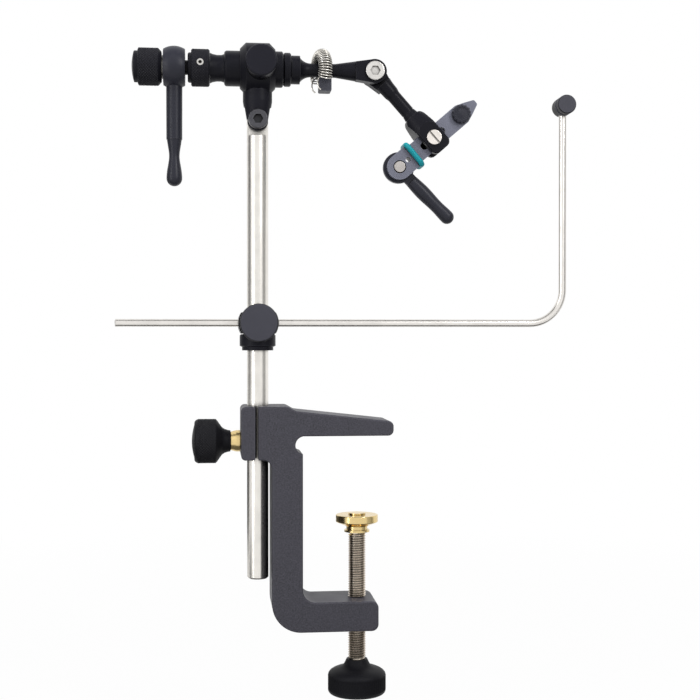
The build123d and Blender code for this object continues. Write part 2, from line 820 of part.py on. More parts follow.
with BuildPart() as crank_grip:
    with BuildSketch(upright_crank):
        with BuildLine():
            shoulder = (arm_end, grip_top_r)
            waist = (arm_end - grip_waist, grip_waist_r)
            bulb = (arm_end - grip_length + grip_bulb_r, grip_bulb_r)
            foot = (arm_end - grip_length, 0)
            Polyline(foot, (arm_end + grip_spigot, 0), (arm_end + grip_spigot, grip_spigot_r),
                     (arm_end, grip_spigot_r), shoulder)
            Spline(shoulder, waist, bulb, tangents=((-1, -0.1), (-1, 0)))
            TangentArc(foot, bulb, tangent=(0, 1))
        make_face()
    revolve(axis=Axis(upright_crank.origin, upright_crank.x_dir))
save(crank_grip, "crank_grip")

with BuildPart() as crank_washer:
    turn(spindle_line, [
        (knob_right, spindle_r + seat_gap),
        (knob_right, washer_r),
        (crank_left, washer_r),
        (crank_left, spindle_r + seat_gap),
    ])
save(crank_washer, "crank_washer")

# Knurled end knob on the spindle's rear thread
end_knob_left = knob_right - end_knob_length
with BuildPart() as end_knob:
    with BuildSketch(spindle_line):
        with BuildLine():
            apex = (end_knob_left, 0)
            rim_x = end_knob_left + end_knob_dome
            lip_x = rim_x + end_knob_lip
            TangentArc(apex, (rim_x, end_knob_lip_r), tangent=(0, 1))
            bore_x = spindle_left - face_gap
            bore = spindle_r + running_gap
            Polyline(
                (rim_x, end_knob_lip_r),
                (lip_x, end_knob_lip_r),
                (lip_x, end_knob_r - edge_break),
                (lip_x + edge_break, end_knob_r),
                (knob_right - end_knob_chamfer, end_knob_r),
                (knob_right, end_knob_r - end_knob_chamfer),
                (knob_right, bore),
                (bore_x, bore),
                (bore_x, 0),
                apex,
            )
        make_face()
    revolve(axis=Axis(spindle_line.origin, spindle_line.x_dir))
save(end_knob, "end_knob")

# Upper arm: flare, rod and the front half of the elbow's lap joint
elbow_x = place(flange_right + upper_arm_length)
elbow_z = place(spindle_z - elbow_drop)
elbow_plane = front_plane(elbow_x, elbow_z)


def knuckle(side, root_r):
    """Half of the lap joint: a disc with a web to the arm on its left (-1) or right (1)."""
    Circle(knuckle_r)
    end = side * knuckle_web
    web_half = root_r - knuckle_inset
    with BuildLine() as web:
        Polyline((0, -knuckle_r), (0, knuckle_r), (end, web_half), (end, -web_half), close=True)
    make_face(web.edges())


with BuildPart() as upper_arm:
    root_end = flange_right + arm_root_length
    with BuildSketch(spindle_line):
        with BuildLine():
            flare_out = (flange_right, arm_root_r)
            flare_in = (root_end, arm_r)
            flare_mid = (flange_right + 0.35 * arm_root_length, arm_r + 0.33 * (arm_root_r - arm_r))
            ThreePointArc(flare_out, flare_mid, flare_in)
            Polyline(
                flare_in,
                (elbow_x - knuckle_taper, arm_r),
                (elbow_x - knuckle_root, upper_root_r),
                (elbow_x - knuckle_root, 0),
                (flange_right - arm_spigot, 0),
                (flange_right - arm_spigot, arm_spigot_r),
                (flange_right, arm_spigot_r),
                flare_out,
            )
        make_face()
    revolve(axis=Axis(spindle_line.origin, spindle_line.x_dir))
    with BuildSketch(elbow_plane.offset(running_gap)):
        knuckle(-1, upper_root_r)
    extrude(amount=knuckle_half - running_gap)
    with BuildSketch(elbow_plane.offset(-knuckle_half)):
        Circle(elbow_bolt_r + running_gap)
    extrude(amount=3 * knuckle_half, mode=Mode.SUBTRACT)
save(upper_arm, "upper_arm")

# Lower arm: the rear half of the lap joint, a turned arm and a spigot in the jaw holder
arm_line = front_plane(elbow_x, elbow_z, lower_arm_angle)
neck_place = lower_arm_length - holder_back
with BuildPart() as lower_arm:
    with BuildSketch(arm_line):
        with BuildLine():
            swell = (knuckle_root, lower_root_r)
            collar = (lower_arm_waist, lower_arm_collar_r)
            waist = (lower_arm_waist + lower_arm_step, lower_arm_r)
            neck = (neck_place, lower_arm_neck_r)
            ring = neck_place - lower_arm_ring
            Line((knuckle_root, 0), swell)
            Spline(swell, collar, tangents=((1, -0.25), (1, -0.03)))
            Spline(collar, waist, tangents=((1, -0.03), (1, 0)))
            Polyline(
                waist,
                (ring - lower_arm_groove, lower_arm_r),
                (ring - lower_arm_groove, lower_arm_r - lower_arm_groove),
                (ring, lower_arm_r - lower_arm_groove),
                (ring, lower_arm_r),
                neck,
                (neck_place, holder_spigot_r),
                (neck_place + holder_spigot, holder_spigot_r),
                (neck_place + holder_spigot, 0),
                (knuckle_root, 0),
            )
        make_face()
    revolve(axis=Axis(arm_line.origin, arm_line.x_dir))
    with BuildSketch(arm_line.offset(-knuckle_half)):
        knuckle(1, lower_root_r)
    extrude(amount=knuckle_half - running_gap)
    with BuildSketch(arm_line.offset(-2 * knuckle_half)):
        Circle(elbow_bolt_r + seat_gap)
    extrude(amount=3 * knuckle_half, mode=Mode.SUBTRACT)
save(lower_arm, "lower_arm")

with BuildPart() as elbow_bolt:
    with BuildSketch(elbow_plane.offset(knuckle_half + running_gap)):
        Circle(elbow_head_r)
    extrude(amount=elbow_head_height)
    fillet(edges().sort_by(Axis.Y)[0], radius=0.3 * elbow_head_height)
    with BuildSketch(elbow_plane.offset(knuckle_half + running_gap)):
        Circle(elbow_bolt_r)
    extrude(amount=-1.9 * knuckle_half)
    with BuildSketch(elbow_plane.offset(knuckle_half + running_gap + elbow_head_height)):
        RegularPolygon(radius=elbow_socket / 2, side_count=6, major_radius=False)
    extrude(amount=-0.8 * elbow_head_height, mode=Mode.SUBTRACT)
save(elbow_bolt, "elbow_bolt")

# Material clip: a coil spring bent round the upper arm, and the tab that joins its ends
clip_x = place(flange_right + clip_reach)
coil_r = (clip_coil_d - wire_d) / 2
ring_start = radians(-clip_end_angle)
ring_sweep = pi - 2 * ring_start
coil_start = pi / 2
coil_sweep = 2 * pi * clip_turns + pi
clip_side = Vector(cos(radians(clip_yaw)), sin(radians(clip_yaw)), 0)
clip_back = Vector(-sin(radians(clip_yaw)), cos(radians(clip_yaw)), 0)


def clip_point(share):
    """Place on the wire and its direction, from 0 at the rear end to 1 at the front end."""
    ring = ring_start + ring_sweep * share
    coil = coil_start + coil_sweep * share
    outward = clip_back * cos(ring) + Vector(0, 0, sin(ring))
    along = clip_back * -sin(ring) + Vector(0, 0, cos(ring))
    reach = clip_ring_r + coil_r * cos(coil)
    spot = Vector(clip_x - clip_shift, 0, spindle_z) + outward * reach + clip_side * (coil_r * sin(coil))
    heading = along * (ring_sweep * reach) - outward * (coil_sweep * coil_r * sin(coil))
    heading += clip_side * (coil_sweep * coil_r * cos(coil))
    return spot, heading.normalized()


def biarc(start, start_heading, end, end_heading):
    """Two arcs that leave and arrive along the given directions."""
    span = end - start
    both = start_heading + end_heading
    a = 2 * (1 - start_heading.dot(end_heading))
    b = span.dot(both)
    reach = (sqrt(b * b + a * span.dot(span)) - b) / a
    middle = (start + end + (start_heading - end_heading) * reach) * 0.5
    first = TangentArc(start, middle, tangent=start_heading)
    TangentArc(middle, end, tangent=first % 1)


quarters = 4 * clip_turns + 2
stations = [clip_point(index / quarters) for index in range(quarters + 1)]
rear_end, rear_heading = stations[0]
front_end, front_heading = stations[-1]
tab_top = place(spindle_z - arm_r - tab_gap)
tab_bottom = tab_top - tab_height
backward = Vector(0, 1, 0)
hook_x = tab_width / 2 - wire_d
hook_z = front_end.Z - hook_drop
rear_foot = Vector(clip_x + hook_x, tab_half_depth + wire_d, hook_z)
front_foot = Vector(clip_x - hook_x, -tab_half_depth - wire_d, hook_z)
with BuildPart() as material_spring:
    with BuildLine() as wire_path:
        Line(rear_foot - backward * wire_d, rear_foot)
        biarc(rear_foot, backward, rear_end, rear_heading)
        for (spot, heading), (next_spot, next_heading) in zip(stations, stations[1:]):
            biarc(spot, heading, next_spot, next_heading)
        biarc(front_end, front_heading, front_foot, backward)
        Line(front_foot, front_foot + backward * wire_d)
    with BuildSketch(Plane(origin=rear_foot - backward * wire_d, z_dir=(0, 1, 0))):
        Circle(wire_d / 2)
    sweep(path=wire_path.line)
save(material_spring, "material_spring")

samples_per_turn = 40
sample_count = samples_per_turn * clip_turns
wire_points = [clip_point(index / sample_count)[0] for index in range(sample_count + 1)]
least = min(
    (wire_points[i] - wire_points[j]).length
    for i in range(sample_count + 1)
    for j in range(i + samples_per_turn // 2, min(i + 2 * samples_per_turn, sample_count + 1))
)
print("material spring, least gap between turns:", round(least - wire_d, 3))

with BuildPart() as spring_tab:
    with BuildSketch(Plane.XZ.offset(-tab_half_depth)):
        with Locations((clip_x, (tab_top + tab_bottom) / 2)):
            Rectangle(tab_width, tab_height)
        fillet(vertices().sort_by(Axis.Y)[:2], radius=tab_round)
    extrude(amount=2 * tab_half_depth)
save(spring_tab, "spring_tab")

# Jaw holder: a fork across the lower arm's end
jaw_half = jaw_gap / 2 + jaw_thickness
tine_in = jaw_half + jaw_side_gap
tine_out = tine_in + tine_thickness
holder_x = elbow_x + lower_arm_length * cos(radians(lower_arm_angle))
holder_z = elbow_z + lower_arm_length * sin(radians(lower_arm_angle))
holder_plane = front_plane(holder_x, holder_z, lower_arm_angle)
holder_web = jaw_width / 2 + face_gap
with BuildPart() as jaw_holder:
    with BuildSketch(holder_plane.offset(-tine_out)):
        with Locations(((holder_front - holder_back) / 2, 0)):
            Rectangle(holder_front + holder_back, holder_width)
        fillet(vertices(), radius=holder_round)
    extrude(amount=2 * tine_out)
    chamfer(edges().filter_by(Plane.XZ), length=edge_break)
    holder_length = holder_back + holder_front
    turn(holder_plane, [
        (-holder_back, 0),
        (-holder_back, holder_end_r),
        (holder_front, holder_end_r + holder_cone_slope * holder_length),
        (holder_front, 0),
    ], mode=Mode.INTERSECT)
    with BuildSketch(holder_plane.offset(-tine_in)):
        with Locations(((holder_front - holder_web) / 2 + holder_front / 2, 0)):
            Rectangle(holder_web + 2 * holder_front, 2 * holder_width)
    extrude(amount=2 * tine_in, mode=Mode.SUBTRACT)
    with BuildSketch(holder_plane.offset(-tine_out)):
        Circle(holder_screw_r + seat_gap)
    extrude(amount=2 * tine_out, mode=Mode.SUBTRACT)
    with BuildSketch(holder_plane.offset(tine_out)):
        Circle(holder_head_r + seat_gap)
    extrude(amount=-holder_recess, mode=Mode.SUBTRACT)
    turn(holder_plane, [
        (-holder_back, 0),
        (-holder_back, holder_spigot_r + seat_gap),
        (-holder_back + holder_spigot, holder_spigot_r + seat_gap),
        (-holder_back + holder_spigot, 0),
    ], mode=Mode.SUBTRACT)
save(jaw_holder, "jaw_holder")

with BuildPart() as holder_screw:
    with BuildSketch(holder_plane.offset(tine_out - holder_recess)):
        Circle(holder_head_r)
    extrude(amount=holder_head_height)
    fillet(edges().sort_by(Axis.Y)[0], radius=fine_break)
    with BuildSketch(holder_plane.offset(tine_out - holder_recess)):
        Circle(holder_screw_r)
    extrude(amount=holder_recess - 1.9 * tine_out)
    with BuildSketch(holder_plane.offset(tine_out - holder_recess + holder_head_height)):
        Rectangle(4 * holder_head_r, screw_slot_width)
    extrude(amount=-screw_slot_depth, mode=Mode.SUBTRACT)
save(holder_screw, "holder_screw")

# Jaws: two plates side by side, closed at the tip
jaw_plane = front_plane(holder_x, holder_z, jaw_angle)
jaw_across = (-sin(radians(jaw_angle)), 0, cos(radians(jaw_angle)))
jaw_side = Plane(origin=jaw_plane.origin, x_dir=jaw_plane.x_dir, z_dir=jaw_across)


def jaw_outline():
    """Plate outline: round heel about the cam pin, straight sides, then a taper to the blunt tip."""
    half = jaw_width / 2
    heel = jaw_heel_width / 2
    heel_end = ring_u - ring_section_d / 2 - ring_gap
    with BuildLine() as outline:
        Polyline((cam_u, heel), (heel_end, heel), (heel_end, half), (jaw_taper, half),
                 (jaw_tip, jaw_tip_width / 2), (jaw_tip, -jaw_tip_width / 2),
                 (jaw_taper, -half), (heel_end, -half), (heel_end, -heel), (cam_u, -heel))
        ThreePointArc((cam_u, -heel), (cam_u - heel, 0), (cam_u, heel))
    make_face(outline.edges())
    fillet(vertices().group_by(Axis.X)[-1], radius=jaw_tip_round)


def jaw(side, pin_hole_r, screw_hole_r):
    """One jaw: side is 1 for the front one and -1 for the rear one."""
    nose_start = jaw_tip - jaw_nose
    with BuildSketch(jaw_plane.offset(side * jaw_nose_gap / 2)) as plate:
        jaw_outline()
    extrude(plate.sketch, amount=side * (jaw_half - jaw_nose_gap / 2))
    with BuildSketch(jaw_plane.offset(side * jaw_nose_gap / 2)) as relief:
        with Locations(((nose_start + 2 * cam_u) / 2, 0)):
            Rectangle(nose_start - 2 * cam_u, 2 * jaw_width)
    extrude(relief.sketch, amount=side * (jaw_gap - jaw_nose_gap) / 2, mode=Mode.SUBTRACT)
    with BuildSketch(jaw_side) as bevel:
        with BuildLine():
            Polyline((nose_start, -side * jaw_half), (jaw_tip + jaw_bevel_run, -side * jaw_half),
                     (jaw_tip + jaw_bevel_run, -side * jaw_tip_width / 2), close=True)
        make_face()
    extrude(bevel.sketch, amount=jaw_width, both=True, mode=Mode.SUBTRACT)
    with BuildSketch(jaw_plane) as holes:
        slot_centre = jaw_slot_end - jaw_slot_width / 2
        SlotCenterToCenter(2 * slot_centre, jaw_slot_width)
        with Locations((cam_u, 0)):
            Circle(pin_hole_r)
        with Locations((jaw_vent, 0)):
            Circle(jaw_vent_r)
        with Locations((adjuster_u, 0)):
            Circle(screw_hole_r)
        with Locations((ring_u, jaw_width / 2), (ring_u, -jaw_width / 2)):
            Rectangle(ring_section_d + 2 * ring_gap, 2 * jaw_notch_depth)
    extrude(holes.sketch, amount=side * jaw_half, mode=Mode.SUBTRACT)


with BuildPart() as front_jaw:
    jaw(1, cam_pin_r + cam_pin_rim, adjuster_screw_r + 2 * adjuster_gap)
save(front_jaw, "front_jaw")

with BuildPart() as rear_jaw:
    jaw(-1, cam_pin_r + seat_gap, adjuster_screw_r + running_gap)
save(rear_jaw, "rear_jaw")

# Jaw adjusting screw with its knurled disc
adjuster_x = holder_x + adjuster_u * cos(radians(jaw_angle))
adjuster_z = holder_z + adjuster_u * sin(radians(jaw_angle))
adjuster_plane = front_plane(adjuster_x, adjuster_z, jaw_angle)
with BuildPart() as jaw_adjuster:
    with BuildSketch(adjuster_plane.offset(jaw_half + adjuster_gap)):
        Circle(adjuster_r)
    extrude(amount=adjuster_height)
    chamfer(edges().sort_by(Axis.Y)[0], length=edge_break)
    with BuildSketch(adjuster_plane.offset(-jaw_half)):
        Circle(adjuster_screw_r)
    extrude(amount=2 * jaw_half + adjuster_gap)
save(jaw_adjuster, "jaw_adjuster")

# Cam pin and lever
cam_x = holder_x + cam_u * cos(radians(jaw_angle))
cam_z = holder_z + cam_u * sin(radians(jaw_angle))
cam_plane = front_plane(cam_x, cam_z, lever_angle)
with BuildPart() as cam_pin:
    with BuildSketch(cam_plane.offset(-jaw_half)):
        Circle(cam_pin_r)
    extrude(amount=2 * jaw_half + cam_pin_proud)
    fillet(edges().sort_by(Axis.Y)[0], radius=fine_break)
save(cam_pin, "cam_pin")

hub_back = -jaw_gap / 2 + running_gap
with BuildPart() as cam_lever:
    with BuildSketch(cam_plane.offset(hub_back)):
        Circle(cam_hub_r)
        with Locations(((lever_root + lever_lap) / 2, 0)):
            Rectangle(lever_root + lever_lap, 2 * lever_neck_half)
    extrude(amount=cam_hub_thickness)
    lever_plane = cam_plane.offset(hub_back + cam_hub_thickness / 2)
    with BuildSketch(lever_plane):
        with BuildLine():
            root = (lever_root, lever_root_r)
            belly = (lever_belly, lever_belly_r)
            waist = (lever_waist, lever_waist_r)
            swell = (lever_length, lever_end_r)
            end = (lever_length + lever_end_r, 0)
            Line((lever_root, 0), root)
            Spline(root, belly, waist, swell, tangents=((1, 0.08), (1, 0)))
            RadiusArc(swell, end, lever_end_r)
            Line(end, (lever_root, 0))
        make_face()
    revolve(axis=Axis(lever_plane.origin, lever_plane.x_dir))
    vent_reach = jaw_vent - cam_u
    vent_angle = radians(jaw_angle - lever_angle)
    with BuildSketch(cam_plane.offset(hub_back)):
        Circle(cam_pin_r + running_gap)
        with Locations((vent_reach * cos(vent_angle), vent_reach * sin(vent_angle))):
            Circle(jaw_vent_r)
    extrude(amount=cam_hub_thickness, mode=Mode.SUBTRACT)
    with BuildSketch(cam_plane.offset(hub_back + cam_hub_thickness)):
        for step in (0, 1):
            with Locations((lever_root - step * lever_groove_step - lever_groove, 0)):
                Rectangle(lever_groove, 2 * cam_hub_r)
    extrude(amount=-lever_groove_depth, mode=Mode.SUBTRACT)
save(cam_lever, "cam_lever")

# Rubber ring that pulls the jaws together in their edge notches
ring_centre = jaw_plane.from_local_coords((ring_u, 0, 0))
ring_plane = Plane(origin=ring_centre, x_dir=jaw_across, z_dir=jaw_plane.x_dir)
ring_half_width = jaw_width / 2 - jaw_notch_depth + ring_section_d / 2 + ring_gap
ring_half_depth = jaw_half + ring_section_d / 2 + ring_gap
with BuildPart() as jaw_ring:
    with BuildSketch(ring_plane, mode=Mode.PRIVATE) as ring_loop:
        RectangleRounded(2 * ring_half_width, 2 * ring_half_depth, ring_corner)
    ring_wire = ring_loop.sketch.faces()[0].outer_wire()
    ring_start_point = ring_wire @ 0
    with BuildSketch(Plane(origin=ring_start_point, z_dir=ring_wire % 0)):
        Circle(ring_section_d / 2)
    sweep(path=ring_wire)
save(jaw_ring, "jaw_ring")

# Bobbin cradle: stop collar, bracket, lock knob, bent rod and thread spool
bracket_bottom = rod_z - bracket_half_height
collar_top = bracket_bottom - face_gap
collar_bottom = collar_top - cradle_collar_height
with BuildPart() as cradle_collar:
    turn(upright_post, [
        (collar_bottom - cradle_lip, post_r + running_gap),
        (collar_bottom - cradle_lip, cradle_lip_r),
        (collar_bottom, cradle_lip_r),
        (collar_bottom + edge_break, cradle_collar_r),
        (collar_top - edge_break, cradle_collar_r),
        (collar_top, cradle_collar_r - edge_break),
        (collar_top, post_r + running_gap),
    ])
save(cradle_collar, "cradle_collar")

cradle_plane = front_plane(post_x, rod_z)
with BuildPart() as cradle_bracket:
    with BuildSketch(cradle_plane.offset(-bracket_back)):
        Circle(bracket_r)
        Rectangle(4 * bracket_r, 2 * bracket_half_height, mode=Mode.INTERSECT)
    extrude(amount=bracket_back + bracket_front)
    with BuildSketch(Plane.XY.offset(bracket_bottom)):
        with Locations((post_x, 0)):
            Circle(post_r + running_gap)
    extrude(amount=2 * bracket_half_height, mode=Mode.SUBTRACT)
    rod_side = Plane(origin=(post_x - 2 * bracket_r, -rod_front, rod_z), x_dir=(0, 1, 0), z_dir=(1, 0, 0))
    with BuildSketch(rod_side):
        Circle(rod_r + running_gap)
    extrude(amount=4 * bracket_r, mode=Mode.SUBTRACT)
    with BuildSketch(cradle_plane.offset(rod_front)):
        Circle(cradle_stud_r + running_gap)
    extrude(amount=bracket_front - rod_front, mode=Mode.SUBTRACT)
save(cradle_bracket, "cradle_bracket")

with BuildPart() as cradle_knob:
    with BuildSketch(cradle_plane.offset(bracket_front + knob_gap)):
        Circle(cradle_knob_r)
    extrude(amount=cradle_knob_height)
    fillet(edges().sort_by(Axis.Y)[0], radius=cradle_knob_round)
    with BuildSketch(cradle_plane.offset(rod_front + rod_r + knob_gap)):
        Circle(cradle_stud_r)
    extrude(amount=bracket_front - rod_front - rod_r)
save(cradle_knob, "cradle_knob")

rod_left = place(post_x - rod_tail)
rod_right = place(post_x + rod_reach)
rod_top = place(rod_z + rod_rise)
rod_plane = Plane.XZ.offset(rod_front)
with BuildPart() as cradle_rod:
    with BuildLine(rod_plane) as rod_path:
        FilletPolyline((rod_left, rod_z), (rod_right, rod_z), (rod_right, rod_top), radius=rod_bend)
    with BuildSketch(Plane(origin=(rod_left, -rod_front, rod_z), x_dir=(0, 1, 0), z_dir=(1, 0, 0))):
        Circle(rod_r)
    sweep(path=rod_path.line)
    chamfer(edges().sort_by(Axis.X)[0], length=fine_break)
save(cradle_rod, "cradle_rod")

spool_z = rod_top + spool_seat
spool_line = Plane(origin=(rod_right, -rod_front, spool_z), x_dir=(0, 1, 0), z_dir=(1, 0, 0))
groove_front = spool_disc - spool_front
groove_back = groove_front + spool_groove
with BuildPart() as cradle_spool:
    turn(spool_line, [
        (-spool_front, 0),
        (-spool_front, spool_r - edge_break),
        (-spool_front + edge_break, spool_r),
        (groove_front - spool_slope, spool_r),
        (groove_front, spool_groove_r),
        (groove_back, spool_groove_r),
        (groove_back + spool_slope, spool_r),
        (spool_back - edge_break, spool_r),
        (spool_back, spool_r - edge_break),
        (spool_back, 0),
    ])
    with BuildSketch(Plane.XY.offset(rod_top)):
        with Locations((rod_right, -rod_front)):
            Circle(rod_r + seat_gap)
    extrude(amount=-2 * spool_r, mode=Mode.SUBTRACT)
save(cradle_spool, "cradle_spool")
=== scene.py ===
import json
import math

import bmesh
import bpy
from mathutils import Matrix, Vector


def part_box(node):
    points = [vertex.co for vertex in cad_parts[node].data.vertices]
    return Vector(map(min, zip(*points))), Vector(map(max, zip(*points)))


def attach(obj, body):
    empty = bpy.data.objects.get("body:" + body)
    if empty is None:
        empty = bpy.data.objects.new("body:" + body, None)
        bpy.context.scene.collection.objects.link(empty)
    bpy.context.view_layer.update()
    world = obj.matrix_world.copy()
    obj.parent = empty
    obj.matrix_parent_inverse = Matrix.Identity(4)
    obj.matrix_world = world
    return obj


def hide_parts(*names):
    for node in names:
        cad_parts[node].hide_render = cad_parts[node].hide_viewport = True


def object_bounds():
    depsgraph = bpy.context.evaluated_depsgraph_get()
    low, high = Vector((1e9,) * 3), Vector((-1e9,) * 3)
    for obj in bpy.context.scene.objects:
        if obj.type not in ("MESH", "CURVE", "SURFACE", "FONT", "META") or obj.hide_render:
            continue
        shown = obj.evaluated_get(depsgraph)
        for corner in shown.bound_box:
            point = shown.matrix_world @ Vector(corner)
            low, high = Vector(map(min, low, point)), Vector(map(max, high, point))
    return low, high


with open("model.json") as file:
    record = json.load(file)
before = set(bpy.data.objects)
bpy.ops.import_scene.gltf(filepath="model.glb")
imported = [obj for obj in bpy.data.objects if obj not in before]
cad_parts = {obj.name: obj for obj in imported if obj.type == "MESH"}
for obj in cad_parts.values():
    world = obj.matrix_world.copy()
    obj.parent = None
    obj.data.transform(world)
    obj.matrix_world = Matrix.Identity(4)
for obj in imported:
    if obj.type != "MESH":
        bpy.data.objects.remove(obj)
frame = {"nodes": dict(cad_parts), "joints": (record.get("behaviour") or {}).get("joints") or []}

# Rotary fly tying vise: surface finishes for the CAD pieces, and finer pieces in place of
# the knurled, threaded, sprung and rubber ones. Sizes are in millimetres until they reach a mesh.
MM = 0.001
cad_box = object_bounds()
joints = {joint["name"]: joint for joint in frame["joints"]}


def node_box(node):
    """Lowest and highest corner of a CAD node, in millimetres."""
    low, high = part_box(node)
    return low / MM, high / MM


def joint_place(name):
    """A point on a joint's axis, in millimetres."""
    return Vector(joints[name]["pos_m"]) / MM


# Lines and directions that the finer pieces share with the CAD. The clamp screw turns on
# the z axis.
clamp_line = Vector((0, 0, 0))
clamp_axis = Vector((0, 0, 1))
spindle_line = Vector((0, 0, joint_place("spindle_turn").z))
spindle_axis = Vector((1, 0, 0))
jaw_axis = Vector(joints["jaw_slide"]["axis"]).normalized()
towards_tier = Vector((0, -1, 0))


# Mesh helpers
def add_object(name, work, smooth_angle=35.0):
    """Object in the scene from a bmesh, smooth except across edges sharper than the angle."""
    bmesh.ops.recalc_face_normals(work, faces=work.faces)
    limit = math.radians(smooth_angle)
    for face in work.faces:
        face.smooth = True
    for edge in work.edges:
        if len(edge.link_faces) == 2:
            edge.smooth = edge.calc_face_angle(0.0) < limit
    mesh = bpy.data.meshes.new(name)
    work.to_mesh(mesh)
    work.free()
    piece = bpy.data.objects.new(name, mesh)
    bpy.context.scene.collection.objects.link(piece)
    return piece


def across(axis):
    """Two unit directions at right angles to an axis and to each other."""
    start = towards_tier if abs(axis.dot(towards_tier)) < 0.9 else Vector((1, 0, 0))
    first = (start - axis * start.dot(axis)).normalized()
    return first, axis.cross(first)


def vertex_round(work, middle, first, second, angle, radius):
    """Vertex at an angle and a radius round a point."""
    out = first * math.cos(angle) + second * math.sin(angle)
    return work.verts.new((middle + out * radius) * MM)


def add_ring(work, middle, first, second, radii):
    """Vertices at even steps round a point, one for each radius."""
    step = 2 * math.pi / len(radii)
    return [vertex_round(work, middle, first, second, step * index, radius)
            for index, radius in enumerate(radii)]


def join_rings(work, here, there, segments):
    """Faces between two rings, either of which may be a single vertex."""
    for step in range(segments):
        after = (step + 1) % segments
        corners = [here[step % len(here)], here[after % len(here)]]
        corners += [there[after % len(there)], there[step % len(there)]]
        work.faces.new(list(dict.fromkeys(corners)))


def turned(name, origin, axis, profile, segments, relief=None, smooth_angle=35.0):
    """Turned form: profile holds (place along the axis, radius) points, and relief adds to the
    radius at an angle and a place along the axis. The first and last radius may be zero."""
    first, second = across(axis)
    work = bmesh.new()
    rings = []
    for along, radius in profile:
        radii = [radius] * segments if radius > 0 else [0.0]
        if relief and radius > 0:
            step = 2 * math.pi / segments
            radii = [radius + relief(step * index, along) for index in range(segments)]
        rings.append(add_ring(work, origin + axis * along, first, second, radii))
    for here, there in zip(rings, rings[1:]):
        join_rings(work, here, there, segments)
    return add_object(name, work, smooth_angle)


def tube(work, path, radius, sides, closed=False):
    """Round tube along a list of points, with a frame carried along the path."""
    count = len(path)
    rings = []
    normal = None
    for index, point in enumerate(path):
        before = path[index - 1] if closed or index else path[0]
        after = path[(index + 1) % count] if closed or index < count - 1 else path[-1]
        heading = (after - before).normalized()
        if normal is None:
            normal = across(heading)[0]
        normal = (normal - heading * normal.dot(heading)).normalized()
        rings.append(add_ring(work, point, normal, heading.cross(normal), [radius] * sides))
    for here, there in zip(rings, rings[1:]):
        join_rings(work, here, there, sides)
    if closed:
        # The last ring meets the first at the turn where their vertices lie closest.
        here, there = rings[-1], rings[0]
        turns = [there[turn:] + there[:turn] for turn in range(sides)]
        gaps = [sum((a.co - b.co).length for a, b in zip(here, ring)) for ring in turns]
        join_rings(work, here, turns[gaps.index(min(gaps))], sides)
    else:
        work.faces.new(list(reversed(rings[0])))
        work.faces.new(rings[-1])


def smooth_path(spots, count):
    """Points on a smooth curve through the spots, count to each stretch."""
    points = []
    last = len(spots) - 1
    for index in range(last):
        around = (spots[min(max(index + step, 0), last)] for step in (-1, 0, 1, 2))
        before, start, end, after = around
        for share in (step / count for step in range(count)):
            curve = start * 2 + (end - before) * share
            curve += (before * 2 - start * 5 + end * 4 - after) * share ** 2
            curve += (start * 3 - before - end * 3 + after) * share ** 3
            points.append(curve / 2)
    return points + [spots[-1]]


def flat_sheet(name, middle, first, second, size):
    """Rectangle round a point, spread along two directions."""
    corners = [(-1, -1), (1, -1), (1, 1), (-1, 1)]
    spots = [middle + first * (a * size[0] / 2) + second * (b * size[1] / 2) for a, b in corners]
    work = bmesh.new()
    work.faces.new([work.verts.new(spot * MM) for spot in spots])
    return add_object(name, work)


def triangle_wave(value):
    """1 at whole numbers, 0 half way between them."""
    return abs(1 - 2 * (value % 1.0))


def spread(start, end, step):
    """Places from start to end, about a step apart."""
    count = max(1, round(abs(end - start) / step))
    return [start + (end - start) * index / count for index in range(count + 1)]


# Materials
def add_node(tree, kind, values=None):
    """Shader node with constants set on its sockets."""
    node = tree.nodes.new("ShaderNode" + kind)
    for socket, value in (values or {}).items():
        node.inputs[socket].default_value = value
    return node


def add_range(tree, value, span, target):
    """Output of a node that maps a value from one span to another."""
    names = ("From Min", "From Max", "To Min", "To Max")
    node = add_node(tree, "MapRange", dict(zip(names, (*span, *target))))
    tree.links.new(value, node.inputs["Value"])
    return node.outputs["Result"]


